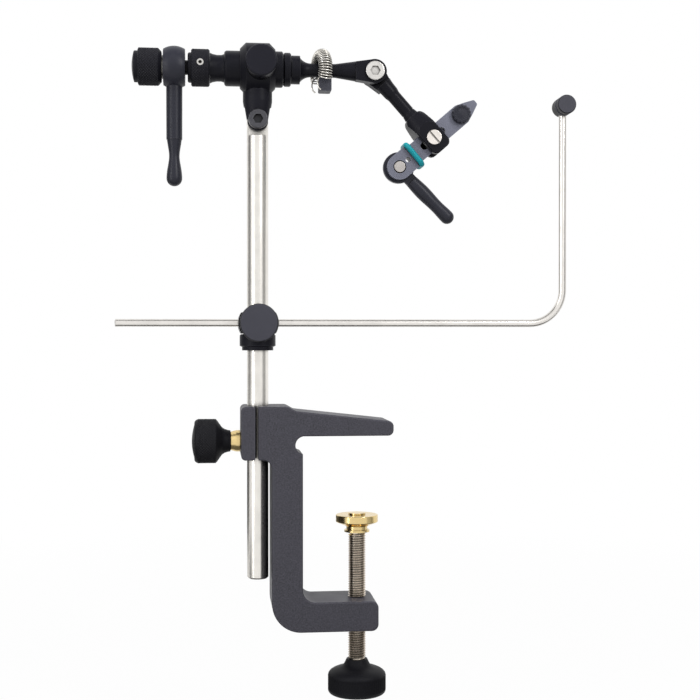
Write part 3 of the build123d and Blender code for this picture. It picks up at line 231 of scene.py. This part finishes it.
class Finish:
    """A procedural material: a shader with noise, edge wear with painted highlight, painted shade
    and relief read at true scale.
    """

    def __init__(self, name, metallic, specular):
        self.material = bpy.data.materials.new(name)
        self.material.use_nodes = True
        self.tree = self.material.node_tree
        self.shader = self.tree.nodes["Principled BSDF"]
        self.shader.inputs["Metallic"].default_value = metallic
        self.shader.inputs["Specular IOR Level"].default_value = specular
        self.coordinates = add_node(self.tree, "TexCoord")

    def link(self, start, end):
        self.tree.links.new(start, end)

    def remap(self, value, span, target):
        return add_range(self.tree, value, span, target)

    def dot(self):
        """Node for the dot product of two vectors."""
        node = add_node(self.tree, "VectorMath")
        node.operation = "DOT_PRODUCT"
        return node

    def noise(self, size_mm, detail, stretch=(1, 1, 1)):
        """Noise whose features are about size_mm across, times the stretch along each axis."""
        scale = [1 / (size_mm * MM * share) for share in stretch]
        mapping = add_node(self.tree, "Mapping", {"Scale": scale})
        self.link(self.coordinates.outputs["Object"], mapping.inputs["Vector"])
        noise = add_node(self.tree, "TexNoise", {"Scale": 1.0, "Detail": detail})
        self.link(mapping.outputs["Vector"], noise.inputs["Vector"])
        return noise.outputs["Fac"]

    def mix(self, factor, first, second):
        """From the first colour at a factor of 0 to the second at 1."""
        node = add_node(self.tree, "Mix")
        node.data_type = "RGBA"
        sockets = {socket.identifier: socket for socket in node.inputs}
        self.link(factor, sockets["Factor_Float"])
        for name, value in (("A_Color", first), ("B_Color", second)):
            if isinstance(value, bpy.types.NodeSocket):
                self.link(value, sockets[name])
            else:
                sockets[name].default_value = (*value, 1.0)
        return next(socket for socket in node.outputs if socket.identifier == "Result_Color")

    def edge_mask(self, width_mm, strength):
        """Mask for paler edges, partly wear and partly painted highlight: 0 on flat ground, rising
        along edges.
        """
        bevel = add_node(self.tree, "Bevel", {"Radius": width_mm * MM})
        bevel.samples = 6
        geometry = add_node(self.tree, "NewGeometry")
        product = self.dot()
        self.link(bevel.outputs["Normal"], product.inputs[0])
        self.link(geometry.outputs["Normal"], product.inputs[1])
        return self.remap(product.outputs["Value"], (0.995, 0.85), (0.0, strength))

    def painted_shade_mask(self, reach_mm, strength, open_from):
        """Mask for painted shade: 0 on ground at least as open as open_from, rising in narrow gaps
        and sockets.
        """
        shadow = add_node(self.tree, "AmbientOcclusion", {"Distance": reach_mm * MM})
        shadow.samples = 8
        return self.remap(shadow.outputs["AO"], (open_from, open_from - 0.5), (0.0, strength))

    def front(self):
        """1 on faces that look towards the tier, 0 on the sides and the back."""
        product = self.dot()
        product.inputs[1].default_value = towards_tier
        self.link(self.coordinates.outputs["Normal"], product.inputs[0])
        return self.remap(product.outputs["Value"], (0.6, 0.95), (0.0, 1.0))

    def join(self, colour, roughness, height, depth_mm):
        """The material, with colour, roughness and relief joined to the shader."""
        bump = add_node(self.tree, "Bump", {"Strength": 1.0, "Distance": depth_mm * MM})
        self.link(height, bump.inputs["Height"])
        self.link(bump.outputs["Normal"], self.shader.inputs["Normal"])
        self.link(colour, self.shader.inputs["Base Color"])
        self.link(roughness, self.shader.inputs["Roughness"])
        return self.material


def shade(colour, share):
    return tuple(channel * share for channel in colour)


usual_opening = 0.75


def blasted(name, colour, roughness, grain_mm=0.16, grain_depth=0.004, speckle=0.2, edge_wear_and_highlight=0.3,
            metallic=0.0, specular=0.5, painted_shade_reach_mm=1.2, painted_side_shade=1.0):
    """Bead-blasted and anodised, or moulded: fine speckle, cloudy tone, edges paler from wear and
    painted highlight, and painted shade in recesses. A side value below 1 paints shade on the sides
    and back, darker than the faces that look towards the tier."""
    cloud_mm = 14.0
    edge_mm = 0.35
    edge_wear_and_highlight_colour = tuple(min(1.0, channel * 3 + 0.05) for channel in colour)
    finish = Finish(name, metallic, specular)
    grain = finish.noise(grain_mm, 3.0)
    cloud = finish.noise(cloud_mm, 2.0)
    speckled = finish.remap(grain, (0.3, 0.7), (0, 1))
    tone = finish.mix(speckled, shade(colour, 1 - speckle), shade(colour, 1 + speckle))
    tone = finish.mix(finish.remap(cloud, (0.35, 0.65), (0, 0.35)), tone, shade(colour, 1.25))
    if painted_side_shade < 1:
        # Painted shade: the sides and back darker than the faces that look towards the tier.
        tone = finish.mix(finish.front(), shade(colour, painted_side_shade), tone)
    # Paler edges, partly wear and partly painted highlight.
    tone = finish.mix(finish.edge_mask(edge_mm, edge_wear_and_highlight), tone, edge_wear_and_highlight_colour)
    # Painted shade: darker in gaps, sockets and recesses, where shade falls.
    tone = finish.mix(finish.painted_shade_mask(painted_shade_reach_mm, 0.9, usual_opening), tone, shade(colour, 0.08))
    gloss = finish.remap(cloud, (0.3, 0.7), (roughness - 0.05, roughness + 0.06))
    return finish.join(tone, gloss, grain, grain_depth)


def turned_metal(name, colour, roughness, stretch, line_mm=0.2, line_depth=0.002, stain=0.12,
                 painted_shade_reach_mm=1.5, open_from=usual_opening):
    """Machined metal: fine tool lines, faint staining, soft gloss changes and painted shade in
    recesses.
    """
    cloud_mm = 7.0
    finish = Finish(name, metallic=1.0, specular=0.5)
    lines = finish.noise(line_mm, 2.0, stretch)
    cloud = finish.noise(cloud_mm, 3.0)
    stained = finish.remap(cloud, (0.35, 0.7), (0, 1))
    tone = finish.mix(stained, colour, shade(colour, 1 - stain))
    lined = finish.remap(lines, (0.4, 0.7), (0, 0.5))
    tone = finish.mix(lined, tone, shade(colour, 1 - 0.6 * stain))
    # Painted shade: darker in gaps, sockets, thread roots and coil interiors, where shade falls.
    tone = finish.mix(finish.painted_shade_mask(painted_shade_reach_mm, 0.95, open_from), tone, shade(colour, 0.04))
    gloss = finish.remap(lines, (0.3, 0.7), (roughness * 0.8, roughness * 1.3))
    return finish.join(tone, gloss, lines, line_depth)


# Tool lines that run round an axis, or no lines
round_z = (1, 1, 0.02)
round_x = (0.02, 1, 1)
even = (1, 1, 1)
materials = {
    "frame": blasted("anodised_frame", (0.031, 0.03, 0.039), 0.48, grain_mm=0.6, grain_depth=0.03,
                     speckle=0.5, edge_wear_and_highlight=0.5, specular=0.4),
    "alloy": blasted("black_alloy", (0.0055, 0.0055, 0.008), 0.34, edge_wear_and_highlight=0.35, specular=0.1),
    "disc": blasted("satin_black_alloy", (0.009, 0.009, 0.013), 0.4, edge_wear_and_highlight=0.45, specular=0.11),
    "crank": blasted("crank_alloy", (0.014, 0.0145, 0.021), 0.36, grain_depth=0.001, speckle=0.15,
                     specular=0.22),
    # Painted shade on the sides, with the faces towards the tier left lighter.
    "face": blasted("satin_alloy", (0.038, 0.038, 0.048), 0.45, speckle=0.15, edge_wear_and_highlight=0.4,
                    specular=0.2, painted_side_shade=0.15),
    "knurl": blasted("knurled_alloy", (0.006, 0.006, 0.0085), 0.45, specular=0.11),
    "knob": blasted("black_plastic", (0.0055, 0.0055, 0.007), 0.5, grain_mm=0.2, grain_depth=0.008,
                    speckle=0.3, edge_wear_and_highlight=0.25, specular=0.12),
    "tab": blasted("clip_tab", (0.031, 0.032, 0.043), 0.5, grain_mm=0.2, grain_depth=0.006,
                   edge_wear_and_highlight=0.4, specular=0.35),
    "bolt": blasted("dark_bolt", (0.06, 0.06, 0.068), 0.38, grain_mm=0.15, metallic=0.6,
                    painted_shade_reach_mm=4.0),
    "jaw": blasted("jaw_steel", (0.115, 0.119, 0.152), 0.44, grain_mm=0.14, grain_depth=0.006,
                   speckle=0.15, edge_wear_and_highlight=0.4, metallic=0.4),
    "rubber": blasted("teal_rubber", (0.0, 0.205, 0.24), 0.45, grain_mm=0.3, grain_depth=0.006,
                      speckle=0.12, edge_wear_and_highlight=0.0, specular=0.3),
    "nylon": blasted("nylon", (0.78, 0.76, 0.70), 0.5, grain_mm=0.4, grain_depth=0.006,
                     speckle=0.06, edge_wear_and_highlight=0.0),
    "post": turned_metal("stainless_post", (0.86, 0.83, 0.78), 0.24, round_z, line_mm=0.12,
                         painted_shade_reach_mm=5.0),
    "rod": turned_metal("stainless_rod", (0.84, 0.81, 0.77), 0.26, round_x, line_mm=0.12,
                        line_depth=0.0005),
    "wire": turned_metal("spring_wire", (0.80, 0.77, 0.71), 0.24, even, line_mm=0.3, painted_shade_reach_mm=6.0,
                         open_from=0.85),
    "bright": turned_metal("bright_steel", (0.76, 0.74, 0.71), 0.26, even, stain=0.25,
                           painted_shade_reach_mm=4.0),
    "head": turned_metal("screw_head_steel", (0.86, 0.81, 0.76), 0.24, even, stain=0.2,
                         painted_shade_reach_mm=2.0),
    "pin": turned_metal("pin_steel", (0.50, 0.47, 0.45), 0.32, even, stain=0.25),
    "thread": turned_metal("screw_steel", (0.96, 0.84, 0.70), 0.25, round_z, line_depth=0.003,
                           stain=0.2, painted_shade_reach_mm=1.2, open_from=0.88),
    "brass": turned_metal("polished_brass", (0.82, 0.63, 0.30), 0.2, round_z, line_mm=0.15,
                          line_depth=0.003),
    "brass_x": turned_metal("brass_screw", (0.82, 0.63, 0.30), 0.22, round_x, line_mm=0.15,
                            line_depth=0.003),
    "bronze": turned_metal("bearing_bronze", (0.55, 0.36, 0.18), 0.35, round_x, line_depth=0.004),
}


def dress(thing, material):
    """Gives a piece or a CAD node one finish all over."""
    thing.data.materials.clear()
    thing.data.materials.append(materials[material])


finishes = {
    "frame": ["c_clamp_frame"],
    "alloy": ["head_housing", "rear_sleeve", "front_cap", "thrust_ring", "upper_arm", "lower_arm",
              "jaw_holder", "cradle_bracket", "spindle"],
    "disc": ["brake_knob", "tilt_fork", "cradle_collar"],
    "face": ["cradle_knob", "cradle_spool"],
    "knurl": ["spindle_collar", "end_knob"],
    "crank": ["crank_arm", "crank_grip", "cam_lever", "jaw_adjuster"],
    "knob": ["post_lock_knob", "clamp_screw_knob"],
    "tab": ["spring_tab"],
    "bolt": ["tilt_bolt"],
    "jaw": ["front_jaw", "rear_jaw"],
    "rubber": ["jaw_ring"],
    "nylon": ["brake_pad"],
    "post": ["post"],
    "rod": ["cradle_rod"],
    "wire": ["material_spring"],
    "bright": ["elbow_bolt", "collar_set_screw", "crank_washer"],
    "head": ["holder_screw"],
    "pin": ["cam_pin"],
    "thread": ["clamp_screw"],
    "brass": ["swivel_pad", "pad_retainer"],
    "brass_x": ["post_lock_screw"],
    "bronze": ["rear_bush", "front_bush"],
}
for material, nodes in finishes.items():
    for node in nodes:
        dress(frame["nodes"][node], material)


# Finer pieces in place of CAD nodes
def stands_for(piece, node, body, material):
    """The piece is shown instead of a CAD node and moves with its body."""
    dress(piece, material)
    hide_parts(node)
    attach(piece, body)


def straight_knurl(start, end, around, depth):
    """Relief of ribs along the axis between two places."""
    def relief(angle, along):
        fade = min(1.0, max(0.0, min(along - start, end - along) / depth))
        return -depth * fade * triangle_wave(angle * around / (2 * math.pi) + 0.5) ** 0.7
    return relief


knurl_row = 1.2
knurl_depth = 0.34
knurl_cells = 4     # mesh cells to a groove, round the axis and along it
knurl_smooth = 25


def knurled(name, line, profile_before, side, radius, profile_after, around):
    """Turned form on the spindle's direction with a diamond knurl on the side between its ends."""
    start, end = side

    def relief(angle, along):
        if not start - 0.01 < along < end + 0.01:
            return 0.0
        turn = angle * around / (2 * math.pi)
        lift = (along - start) / knurl_row
        return knurl_depth * (min(triangle_wave(turn + lift), triangle_wave(turn - lift)) - 0.5)

    grooved = [(along, radius) for along in spread(start, end, knurl_row / knurl_cells)]
    return turned(name, line, spindle_axis, profile_before + grooved + profile_after,
                  around * knurl_cells, relief, knurl_smooth)


def rounded(centre, radius, start_angle, end_angle, count):
    """Profile points on an arc, as (place, radius), with angles in degrees."""
    points = []
    for index in range(count):
        angle = math.radians(start_angle + (end_angle - start_angle) * index / (count - 1))
        points.append((centre[0] + radius * math.cos(angle), centre[1] + radius * math.sin(angle)))
    return points


def dome(apex, rim, count):
    """Profile points of a shallow cap from its apex on the axis towards its rim."""
    shares = [index / count for index in range(count)]
    return [(apex + (rim[0] - apex) * share ** 2, rim[1] * share) for share in shares]


# Clamp screw knob: domed foot, ribbed side, flared neck given as (drop from the top, radius)
knob_low, knob_high = node_box("clamp_screw_knob")
foot_z, crown_z = knob_low.z, knob_high.z
knob_r = knob_high.x
foot_round = 1.8
foot_dome = 1.0
rib_bottom = foot_z + 3.0
rib_top = foot_z + 8.9
rib_count = 66
rib_depth = 0.12
rib_cells = 6
rib_row = 0.5
neck_flare = [(7.3, 13.05), (6.4, 12.8), (5.6, 12.15), (4.9, 11.1), (4.3, 9.7), (3.8, 8.2),
              (3.3, 6.9), (2.6, 6.0), (1.3, 5.3), (0.0, 4.7)]
foot_r = knob_r - foot_round
profile = dome(foot_z, (foot_z + foot_dome, foot_r), 10)
profile += rounded((foot_z + foot_dome + foot_round, foot_r), foot_round, 180, 90, 6)
profile += [(along, knob_r) for along in spread(rib_bottom, rib_top, rib_row)]
profile += [(crown_z - drop, radius) for drop, radius in neck_flare]
profile += [(crown_z, 0)]
clamp_knob = turned("clamp_knob_ribbed", clamp_line, clamp_axis, profile, rib_count * rib_cells,
                    straight_knurl(rib_bottom, rib_top, rib_count, rib_depth), 50)
stands_for(clamp_knob, "clamp_screw_knob", "clamp_screw", "knob")

# Post lock knob: domed face, knurled side, bevel and waisted neck
lock_line = joint_place("post_lock_turn")
lock_line.x = 0
lock_low, lock_high = node_box("post_lock_knob")
lock_r = (lock_high.z - lock_low.z) / 2
lock_face_r = 7.9
lock_face_dome = 1.3
lock_round = 1.9
lock_side = (lock_high.x - 14.1, lock_high.x - 6.5)
lock_neck = [(5.9, 9.2), (3.9, 6.35), (3.3, 5.8), (2.4, 5.3), (1.2, 4.9), (0.0, 4.7), (0.0, 0.0)]
lock_face = dome(lock_low.x, (lock_low.x + lock_face_dome, lock_face_r), 10)
lock_face += rounded((lock_side[0], lock_r - lock_round), lock_round, 160, 100, 5)
lock_end = [(lock_high.x - drop, radius) for drop, radius in lock_neck]
lock_knob = knurled("post_lock_knob_knurled", lock_line, lock_face, lock_side, lock_r, lock_end, 48)
stands_for(lock_knob, "post_lock_knob", "post_lock", "knob")

# End knob on the spindle's rear thread, drawn back from the washer that it turns against
spindle_knurls = 40
knurl_bevel = 0.5
step_rise = 0.05
end_low, end_high = node_box("end_knob")
end_high.x -= 0.05
end_r = (end_high.z - end_low.z) / 2
end_face_r = 6.4
end_face_dome = 0.9
end_face_round = 0.5
end_step = end_low.x + 2.7
end_bevel = 1.5
end_hole_r = 3.3
end_hole_depth = 8
end_side = (end_step + knurl_bevel, end_high.x - end_bevel)
end_face = dome(end_low.x, (end_low.x + end_face_dome, end_face_r), 8)
end_face += rounded((end_low.x + end_face_dome + end_face_round, end_face_r), end_face_round,
                    180, 90, 4)
end_face += [(end_step, end_face_r + end_face_round), (end_step + step_rise, end_r - knurl_bevel)]
end_back = [(end_high.x, end_r - end_bevel), (end_high.x, end_hole_r),
            (end_high.x - end_hole_depth, end_hole_r), (end_high.x - end_hole_depth, 0)]
end_knob = knurled("end_knob_knurled", spindle_line, end_face, end_side, end_r, end_back,
                   spindle_knurls)
stands_for(end_knob, "end_knob", "end_knob", "knurl")

# Spindle collar, which reaches to the rear sleeve, with the hole that its set screw sits in
collar_low, collar_high = node_box("spindle_collar")
collar_high.x = node_box("rear_sleeve")[0].x - 0.05
collar_r = (collar_high.z - collar_low.z) / 2
collar_bore_r = 3.25
collar_hub_r = 6.6
collar_hub_bevel = 0.5
collar_step = collar_low.x + 1.45
collar_bevel = 0.6
collar_side = (collar_step + step_rise + knurl_bevel, collar_high.x - collar_bevel)
collar_hub = [(collar_low.x, collar_bore_r), (collar_low.x, collar_hub_r - collar_hub_bevel),
              (collar_low.x + collar_hub_bevel, collar_hub_r), (collar_step, collar_hub_r),
              (collar_step + step_rise, collar_r - knurl_bevel)]
collar_back = [(collar_high.x, collar_r - collar_bevel), (collar_high.x, collar_bore_r),
               (collar_low.x, collar_bore_r)]
collar = knurled("spindle_collar_knurled", spindle_line, collar_hub, collar_side, collar_r,
                 collar_back, spindle_knurls)
set_low, set_high = node_box("collar_set_screw")
set_middle = (set_low + set_high) / 2
set_foot = Vector((set_middle.x, 0, spindle_line.z))
drill_r = 1.6
drill_from, drill_to = 4.0, 12.0
drill = turned("drill", set_foot, (set_middle - set_foot).normalized(),
               [(drill_from, 0), (drill_from, drill_r), (drill_to, drill_r), (drill_to, 0)], 32)
cut = collar.modifiers.new("set_screw_hole", "BOOLEAN")
cut.object = drill
cut.solver = "EXACT"
bpy.context.view_layer.update()
graph = bpy.context.evaluated_depsgraph_get()
cut_mesh = bpy.data.meshes.new_from_object(collar.evaluated_get(graph))
collar.modifiers.clear()
collar.data = cut_mesh
bpy.data.objects.remove(drill)
stands_for(collar, "spindle_collar", "spindle", "knurl")

# Jaw adjuster: scalloped disc on its screw, its face as (in from the front, in from the rim)
adjuster_line = joint_place("jaw_adjuster_turn")
adjuster_line.y = 0
adjuster_low, adjuster_high = node_box("jaw_adjuster")
adjuster_r = (adjuster_high.z - adjuster_low.z) / 2
adjuster_screw_r = 1.5
disc_thick = 2.6
disc_front = -adjuster_low.y
disc_back = disc_front - disc_thick
screw_end = -adjuster_high.y
scallops = 14
scallop_depth = 0.45
scallop_cells = 12
disc_face = [(0.45, 0.0), (0.15, 0.12), (0.0, 0.5), (0.05, 1.1), (0.3, 1.3), (0.28, 2.4)]
dimple_r = 0.9


def scallop(angle, along):
    """Relief of hollows round the disc's rim."""
    if along < disc_back - 0.01:
        return 0.0
    return -scallop_depth * (0.5 + 0.5 * math.cos(angle * scallops)) ** 2.2


profile = [(screw_end, 0), (screw_end, adjuster_screw_r), (disc_back - 0.02, adjuster_screw_r),
           (disc_back, adjuster_r - 0.35), (disc_back + 0.3, adjuster_r)]
profile += [(disc_front - depth, adjuster_r - inset) for depth, inset in disc_face]
profile += [(disc_front - 0.1, dimple_r), (disc_front - 0.08, 0)]
adjuster = turned("jaw_adjuster_scalloped", adjuster_line, towards_tier, profile,
                  scallops * scallop_cells, scallop, 40)
stands_for(adjuster, "jaw_adjuster", "jaw_adjuster", "crank")


# Clamp screw with a true helical thread
def threaded(name, origin, axis, thread, crest, depth, pitch, before, after):
    """Closed screw: turned points before and after a helical thread between two places."""
    first, second = across(axis)
    segments = 40
    start, end = thread
    root = crest - depth
    runout = 0.8 * pitch
    form = [(0.0, crest), (0.14, crest), (0.5, root), (0.64, root)]     # (share of a turn, radius)
    rows = len(form) * (math.ceil((end - start) / pitch) + 2)
    work = bmesh.new()
    columns = []
    for step in range(segments):
        angle = 2 * math.pi * step / segments
        column = []
        for row in range(rows + len(form)):
            share, radius = form[row % len(form)]
            along = start + pitch * (row // len(form) + share + step / segments - 2)
            along = min(max(along, start), end)
            fade = min(1.0, (along - start) / runout, (end - along) / runout)
            column.append(vertex_round(work, origin + axis * along, first, second, angle,
                                       root + (radius - root) * fade))
        columns.append(column)
    for step in range(segments):
        here = columns[step]
        there = columns[(step + 1) % segments]
        shift = len(form) if step == segments - 1 else 0
        for row in range(rows - 1):
            work.faces.new((here[row], here[row + 1], there[row + 1 + shift], there[row + shift]))
    for points in (before + [(start, root)], [(end, root)] + after):
        rings = []
        for along, radius in points:
            radii = [radius] * segments if radius > 0 else [0.0]
            rings.append(add_ring(work, origin + axis * along, first, second, radii))
        for here, there in zip(rings, rings[1:]):
            join_rings(work, here, there, segments)
    bmesh.ops.remove_doubles(work, verts=work.verts, dist=1e-7)
    return add_object(name, work, 30)


inch = 25.4
thread_pitch = inch / 24
thread_depth = 0.6
screw_low, screw_high = node_box("clamp_screw")
retainer_low, retainer_high = node_box("pad_retainer")
screw_r = screw_high.x
ball_r = 3.1
neck_r = 2.5
neck_z = retainer_low.z - 0.3
screw_tang = [(screw_low.z, 0), (screw_low.z, screw_r - thread_depth)]
screw_ball = [(neck_z, neck_r), (retainer_high.z, neck_r)]
screw_ball += rounded((screw_high.z - ball_r, 0), ball_r, 140, 14, 10)
screw_ball += [(screw_high.z, 0)]
clamp_screw = threaded("clamp_screw_threaded", clamp_line, clamp_axis, (crown_z, neck_z), screw_r,
                       thread_depth, thread_pitch, screw_tang, screw_ball)
stands_for(clamp_screw, "clamp_screw", "clamp_screw", "thread")

# Material clip: close-wound spring bent over the arm, its two ends hooked round the tab
tab_low, tab_high = node_box("spring_tab")
tab_middle = (tab_low + tab_high) / 2
clip_shift = 1.6
clip_middle = Vector((tab_middle.x - clip_shift, 0, spindle_line.z))
clip_yaw = math.radians(12.0)
clip_side = Vector((math.cos(clip_yaw), math.sin(clip_yaw), 0))
clip_back = Vector((-math.sin(clip_yaw), math.cos(clip_yaw), 0))
wire_r = 0.31
wire_sides = 8
coil_r = 2.9
clip_r = 6.5
clip_turns = 33
turn_points = 18
clip_start = math.radians(-33.0)
clip_sweep = math.pi - 2 * clip_start
coil_path = []
for index in range(clip_turns * turn_points + 1):
    share = index / (clip_turns * turn_points)
    bend = clip_start + clip_sweep * share
    coil = 2 * math.pi * clip_turns * share + math.pi / 2
    outward = clip_back * math.cos(bend) + Vector((0, 0, math.sin(bend)))
    reach = clip_r + coil_r * math.cos(coil)
    coil_path.append(clip_middle + outward * reach + clip_side * (coil_r * math.sin(coil)))
hook_loop = [(2.9, 3.5), (1.6, 4.4), (0.0, 4.7), (-1.7, 4.0), (-3.0, 2.7), (-3.6, 1.1),
             (-3.55, -0.6), (-3.0, -1.9), (-2.1, -2.6)]
hook_gap = 0.05
hook_points = 6


def hook(end, side, shift):
    """Wire from an end of the coil over the tab's top and round its left edge, on its front (-1) or
    rear (1) side, with the loop moved along the arm by the shift."""
    face_y = side * (tab_high.y + wire_r + hook_gap)
    middle = Vector((tab_middle.x + shift, face_y, tab_middle.z))
    spots = [end] + [middle + Vector((right, 0, up)) for right, up in hook_loop]
    return smooth_path(spots, hook_points)[1:]


front_hook = hook(coil_path[-1], -1, 0.1)
rear_hook = hook(coil_path[0], 1, -1.8)
spring_work = bmesh.new()
tube(spring_work, list(reversed(rear_hook)) + coil_path + front_hook, wire_r, wire_sides)
spring = add_object("material_spring_wound", spring_work, 60)
stands_for(spring, "material_spring", "spindle", "wire")

# Rubber ring round the jaws
ring_low, ring_high = node_box("jaw_ring")
ring_middle = (ring_low + ring_high) / 2
ring_across = jaw_axis.cross(towards_tier).normalized()
rubber_r = 1.2
rubber_sides = 20
ring_corner = 1.8
corner_steps = 8
straight_across = 5.6 - ring_corner
straight_deep = (ring_high.y - ring_low.y) / 2 - rubber_r - ring_corner
ring_path = []
for corner, (side, depth) in enumerate([(1, 1), (-1, 1), (-1, -1), (1, -1)]):
    for step in range(corner_steps + 1):
        angle = math.radians(90 * (corner + step / corner_steps))
        spot = ring_across * (side * straight_across + ring_corner * math.cos(angle))
        spot += towards_tier * (depth * straight_deep + ring_corner * math.sin(angle))
        ring_path.append(ring_middle + spot)
rubber_work = bmesh.new()
tube(rubber_work, ring_path, rubber_r, rubber_sides, closed=True)
rubber_ring = add_object("jaw_ring_round", rubber_work, 60)
stands_for(rubber_ring, "jaw_ring", "jaws", "rubber")


# Camera
image_size = 700
focal_pixels = 1250
camera_forward = Vector((0.108, 0.994, -0.0096))
camera_data = bpy.data.cameras.new("camera")
camera_data.sensor_fit = "HORIZONTAL"
camera_data.sensor_width = 36.0
camera_data.lens = camera_data.sensor_width * focal_pixels / image_size
camera_data.clip_start = 0.01
camera_data.clip_end = 50.0
camera = bpy.data.objects.new("camera", camera_data)
camera.location = Vector((-63.9, -559.5, 43.2)) * MM
camera.rotation_euler = camera_forward.to_track_quat("-Z", "Y").to_euler()
bpy.context.scene.collection.objects.link(camera)
bpy.context.scene.camera = camera
bpy.context.scene.view_settings.view_transform = "Standard"

# Lamps, all aimed at the middle of the vise
lamp_target = Vector((-10, 0, 40))


def area_light(name, place_mm, size_mm, power, in_reflections):
    light = bpy.data.lights.new(name, "AREA")
    light.shape = "RECTANGLE"
    light.size = size_mm[0] * MM
    light.size_y = size_mm[1] * MM
    light.energy = power
    lamp = bpy.data.objects.new(name, light)
    lamp.location = Vector(place_mm) * MM
    lamp.rotation_euler = (lamp_target - Vector(place_mm)).to_track_quat("-Z", "Y").to_euler()
    lamp.visible_glossy = in_reflections
    bpy.context.scene.collection.objects.link(lamp)


area_light("top_softbox", (-40, -200, 700), (700, 500), power=7.0, in_reflections=False)
area_light("front_softbox", (-250, -650, 300), (500, 400), power=1.4, in_reflections=False)
area_light("left_strip", (-520, -380, 160), (70, 600), power=1.0, in_reflections=True)
area_light("right_strip", (400, -600, 450), (120, 400), power=1.9, in_reflections=True)


def empty_tree(owner):
    """Cleared shader tree of a material or a world."""
    owner.use_nodes = True
    owner.node_tree.nodes.clear()
    return owner.node_tree


# Flags
def flag(name, place_mm, facing, size_mm, tone):
    """Dark card beside the set, seen only in reflections. It gives bright metal its dark lines."""
    first, second = across(Vector(facing).normalized())
    card = flat_sheet(name, Vector(place_mm), first, second, size_mm)
    material = bpy.data.materials.new(name)
    tree = empty_tree(material)
    glow = add_node(tree, "Emission", {"Color": (tone, tone, tone, 1)})
    out = add_node(tree, "OutputMaterial")
    tree.links.new(glow.outputs["Emission"], out.inputs["Surface"])
    card.data.materials.append(material)
    card.visible_camera = False
    card.visible_diffuse = False
    card.visible_shadow = False
    card.visible_transmission = False


flag("left_flag", (-600, 140, 140), (1, 0, 0), (500, 360), tone=0.28)
flag("foot_flag", (-420, 420, -150), (1, -1, 0), (700, 220), tone=0.01)
flag("right_flag", (560, -200, 60), (-0.93, 0.36, 0), (460, 700), tone=0.4)
flag("low_flag", (0, -20, -115), (0, 0, 1), (160, 900), tone=0.15)
flag("high_flag", (0, -120, 490), (0, 0, -1), (240, 900), tone=0.25)


# World and floor
white = (1, 1, 1, 1)
fill_strength = 0.15


def background_share(tree):
    """1 for the rays that should see a white background: camera, glossy and transmission rays."""
    path = add_node(tree, "LightPath")
    total = path.outputs["Is Camera Ray"]
    for name in ("Is Glossy Ray", "Is Transmission Ray"):
        larger = add_node(tree, "Math")
        larger.operation = "MAXIMUM"
        tree.links.new(total, larger.inputs[0])
        tree.links.new(path.outputs[name], larger.inputs[1])
        total = larger.outputs["Value"]
    return total


def choose(tree, share, first, second, out):
    """Joins a mix of two shaders to an output."""
    chooser = add_node(tree, "MixShader")
    tree.links.new(share, chooser.inputs["Fac"])
    tree.links.new(first, chooser.inputs[1])
    tree.links.new(second, chooser.inputs[2])
    tree.links.new(chooser.outputs["Shader"], out.inputs["Surface"])


world = bpy.data.worlds.new("studio")
bpy.context.scene.world = world
world_tree = empty_tree(world)
soft_fill = add_node(world_tree, "Background", {"Color": white, "Strength": fill_strength})
backdrop = add_node(world_tree, "Background", {"Color": white, "Strength": 1.0})
choose(world_tree, background_share(world_tree), soft_fill.outputs["Background"],
       backdrop.outputs["Background"], add_node(world_tree, "OutputWorld"))


def floor_material():
    """Pale matte ground that keeps a faint shadow near the vise and is white farther out."""
    shadow_reach = (0.15, 0.7)
    white_share = (0.95, 1.0)
    material = bpy.data.materials.new("pale_floor")
    tree = empty_tree(material)
    matte = add_node(tree, "BsdfDiffuse", {"Color": (0.75, 0.75, 0.76, 1)})
    glow = add_node(tree, "Emission", {"Color": white, "Strength": 1.0})
    place = add_node(tree, "TexCoord")
    away = add_node(tree, "VectorMath")
    away.operation = "LENGTH"
    tree.links.new(place.outputs["Object"], away.inputs[0])
    share = add_node(tree, "Math")
    share.operation = "MULTIPLY"
    tree.links.new(background_share(tree), share.inputs[0])
    fade = add_range(tree, away.outputs["Value"], shadow_reach, white_share)
    tree.links.new(fade, share.inputs[1])
    choose(tree, share.outputs["Value"], matte.outputs["BSDF"], glow.outputs["Emission"],
           add_node(tree, "OutputMaterial"))
    return material


# The floor lies just below the clamp screw's knob at the lowest end of its travel.
floor_size = (8000, 8000)
floor_gap = 0.1
screw_way_down = joints["pad_slide"]["range_m"][0] / MM
floor_z = cad_box[0][2] / MM + screw_way_down - floor_gap
floor = flat_sheet("floor", Vector((0, 0, floor_z)), Vector((1, 0, 0)), Vector((0, 1, 0)),
                   floor_size)
floor.data.materials.append(floor_material())
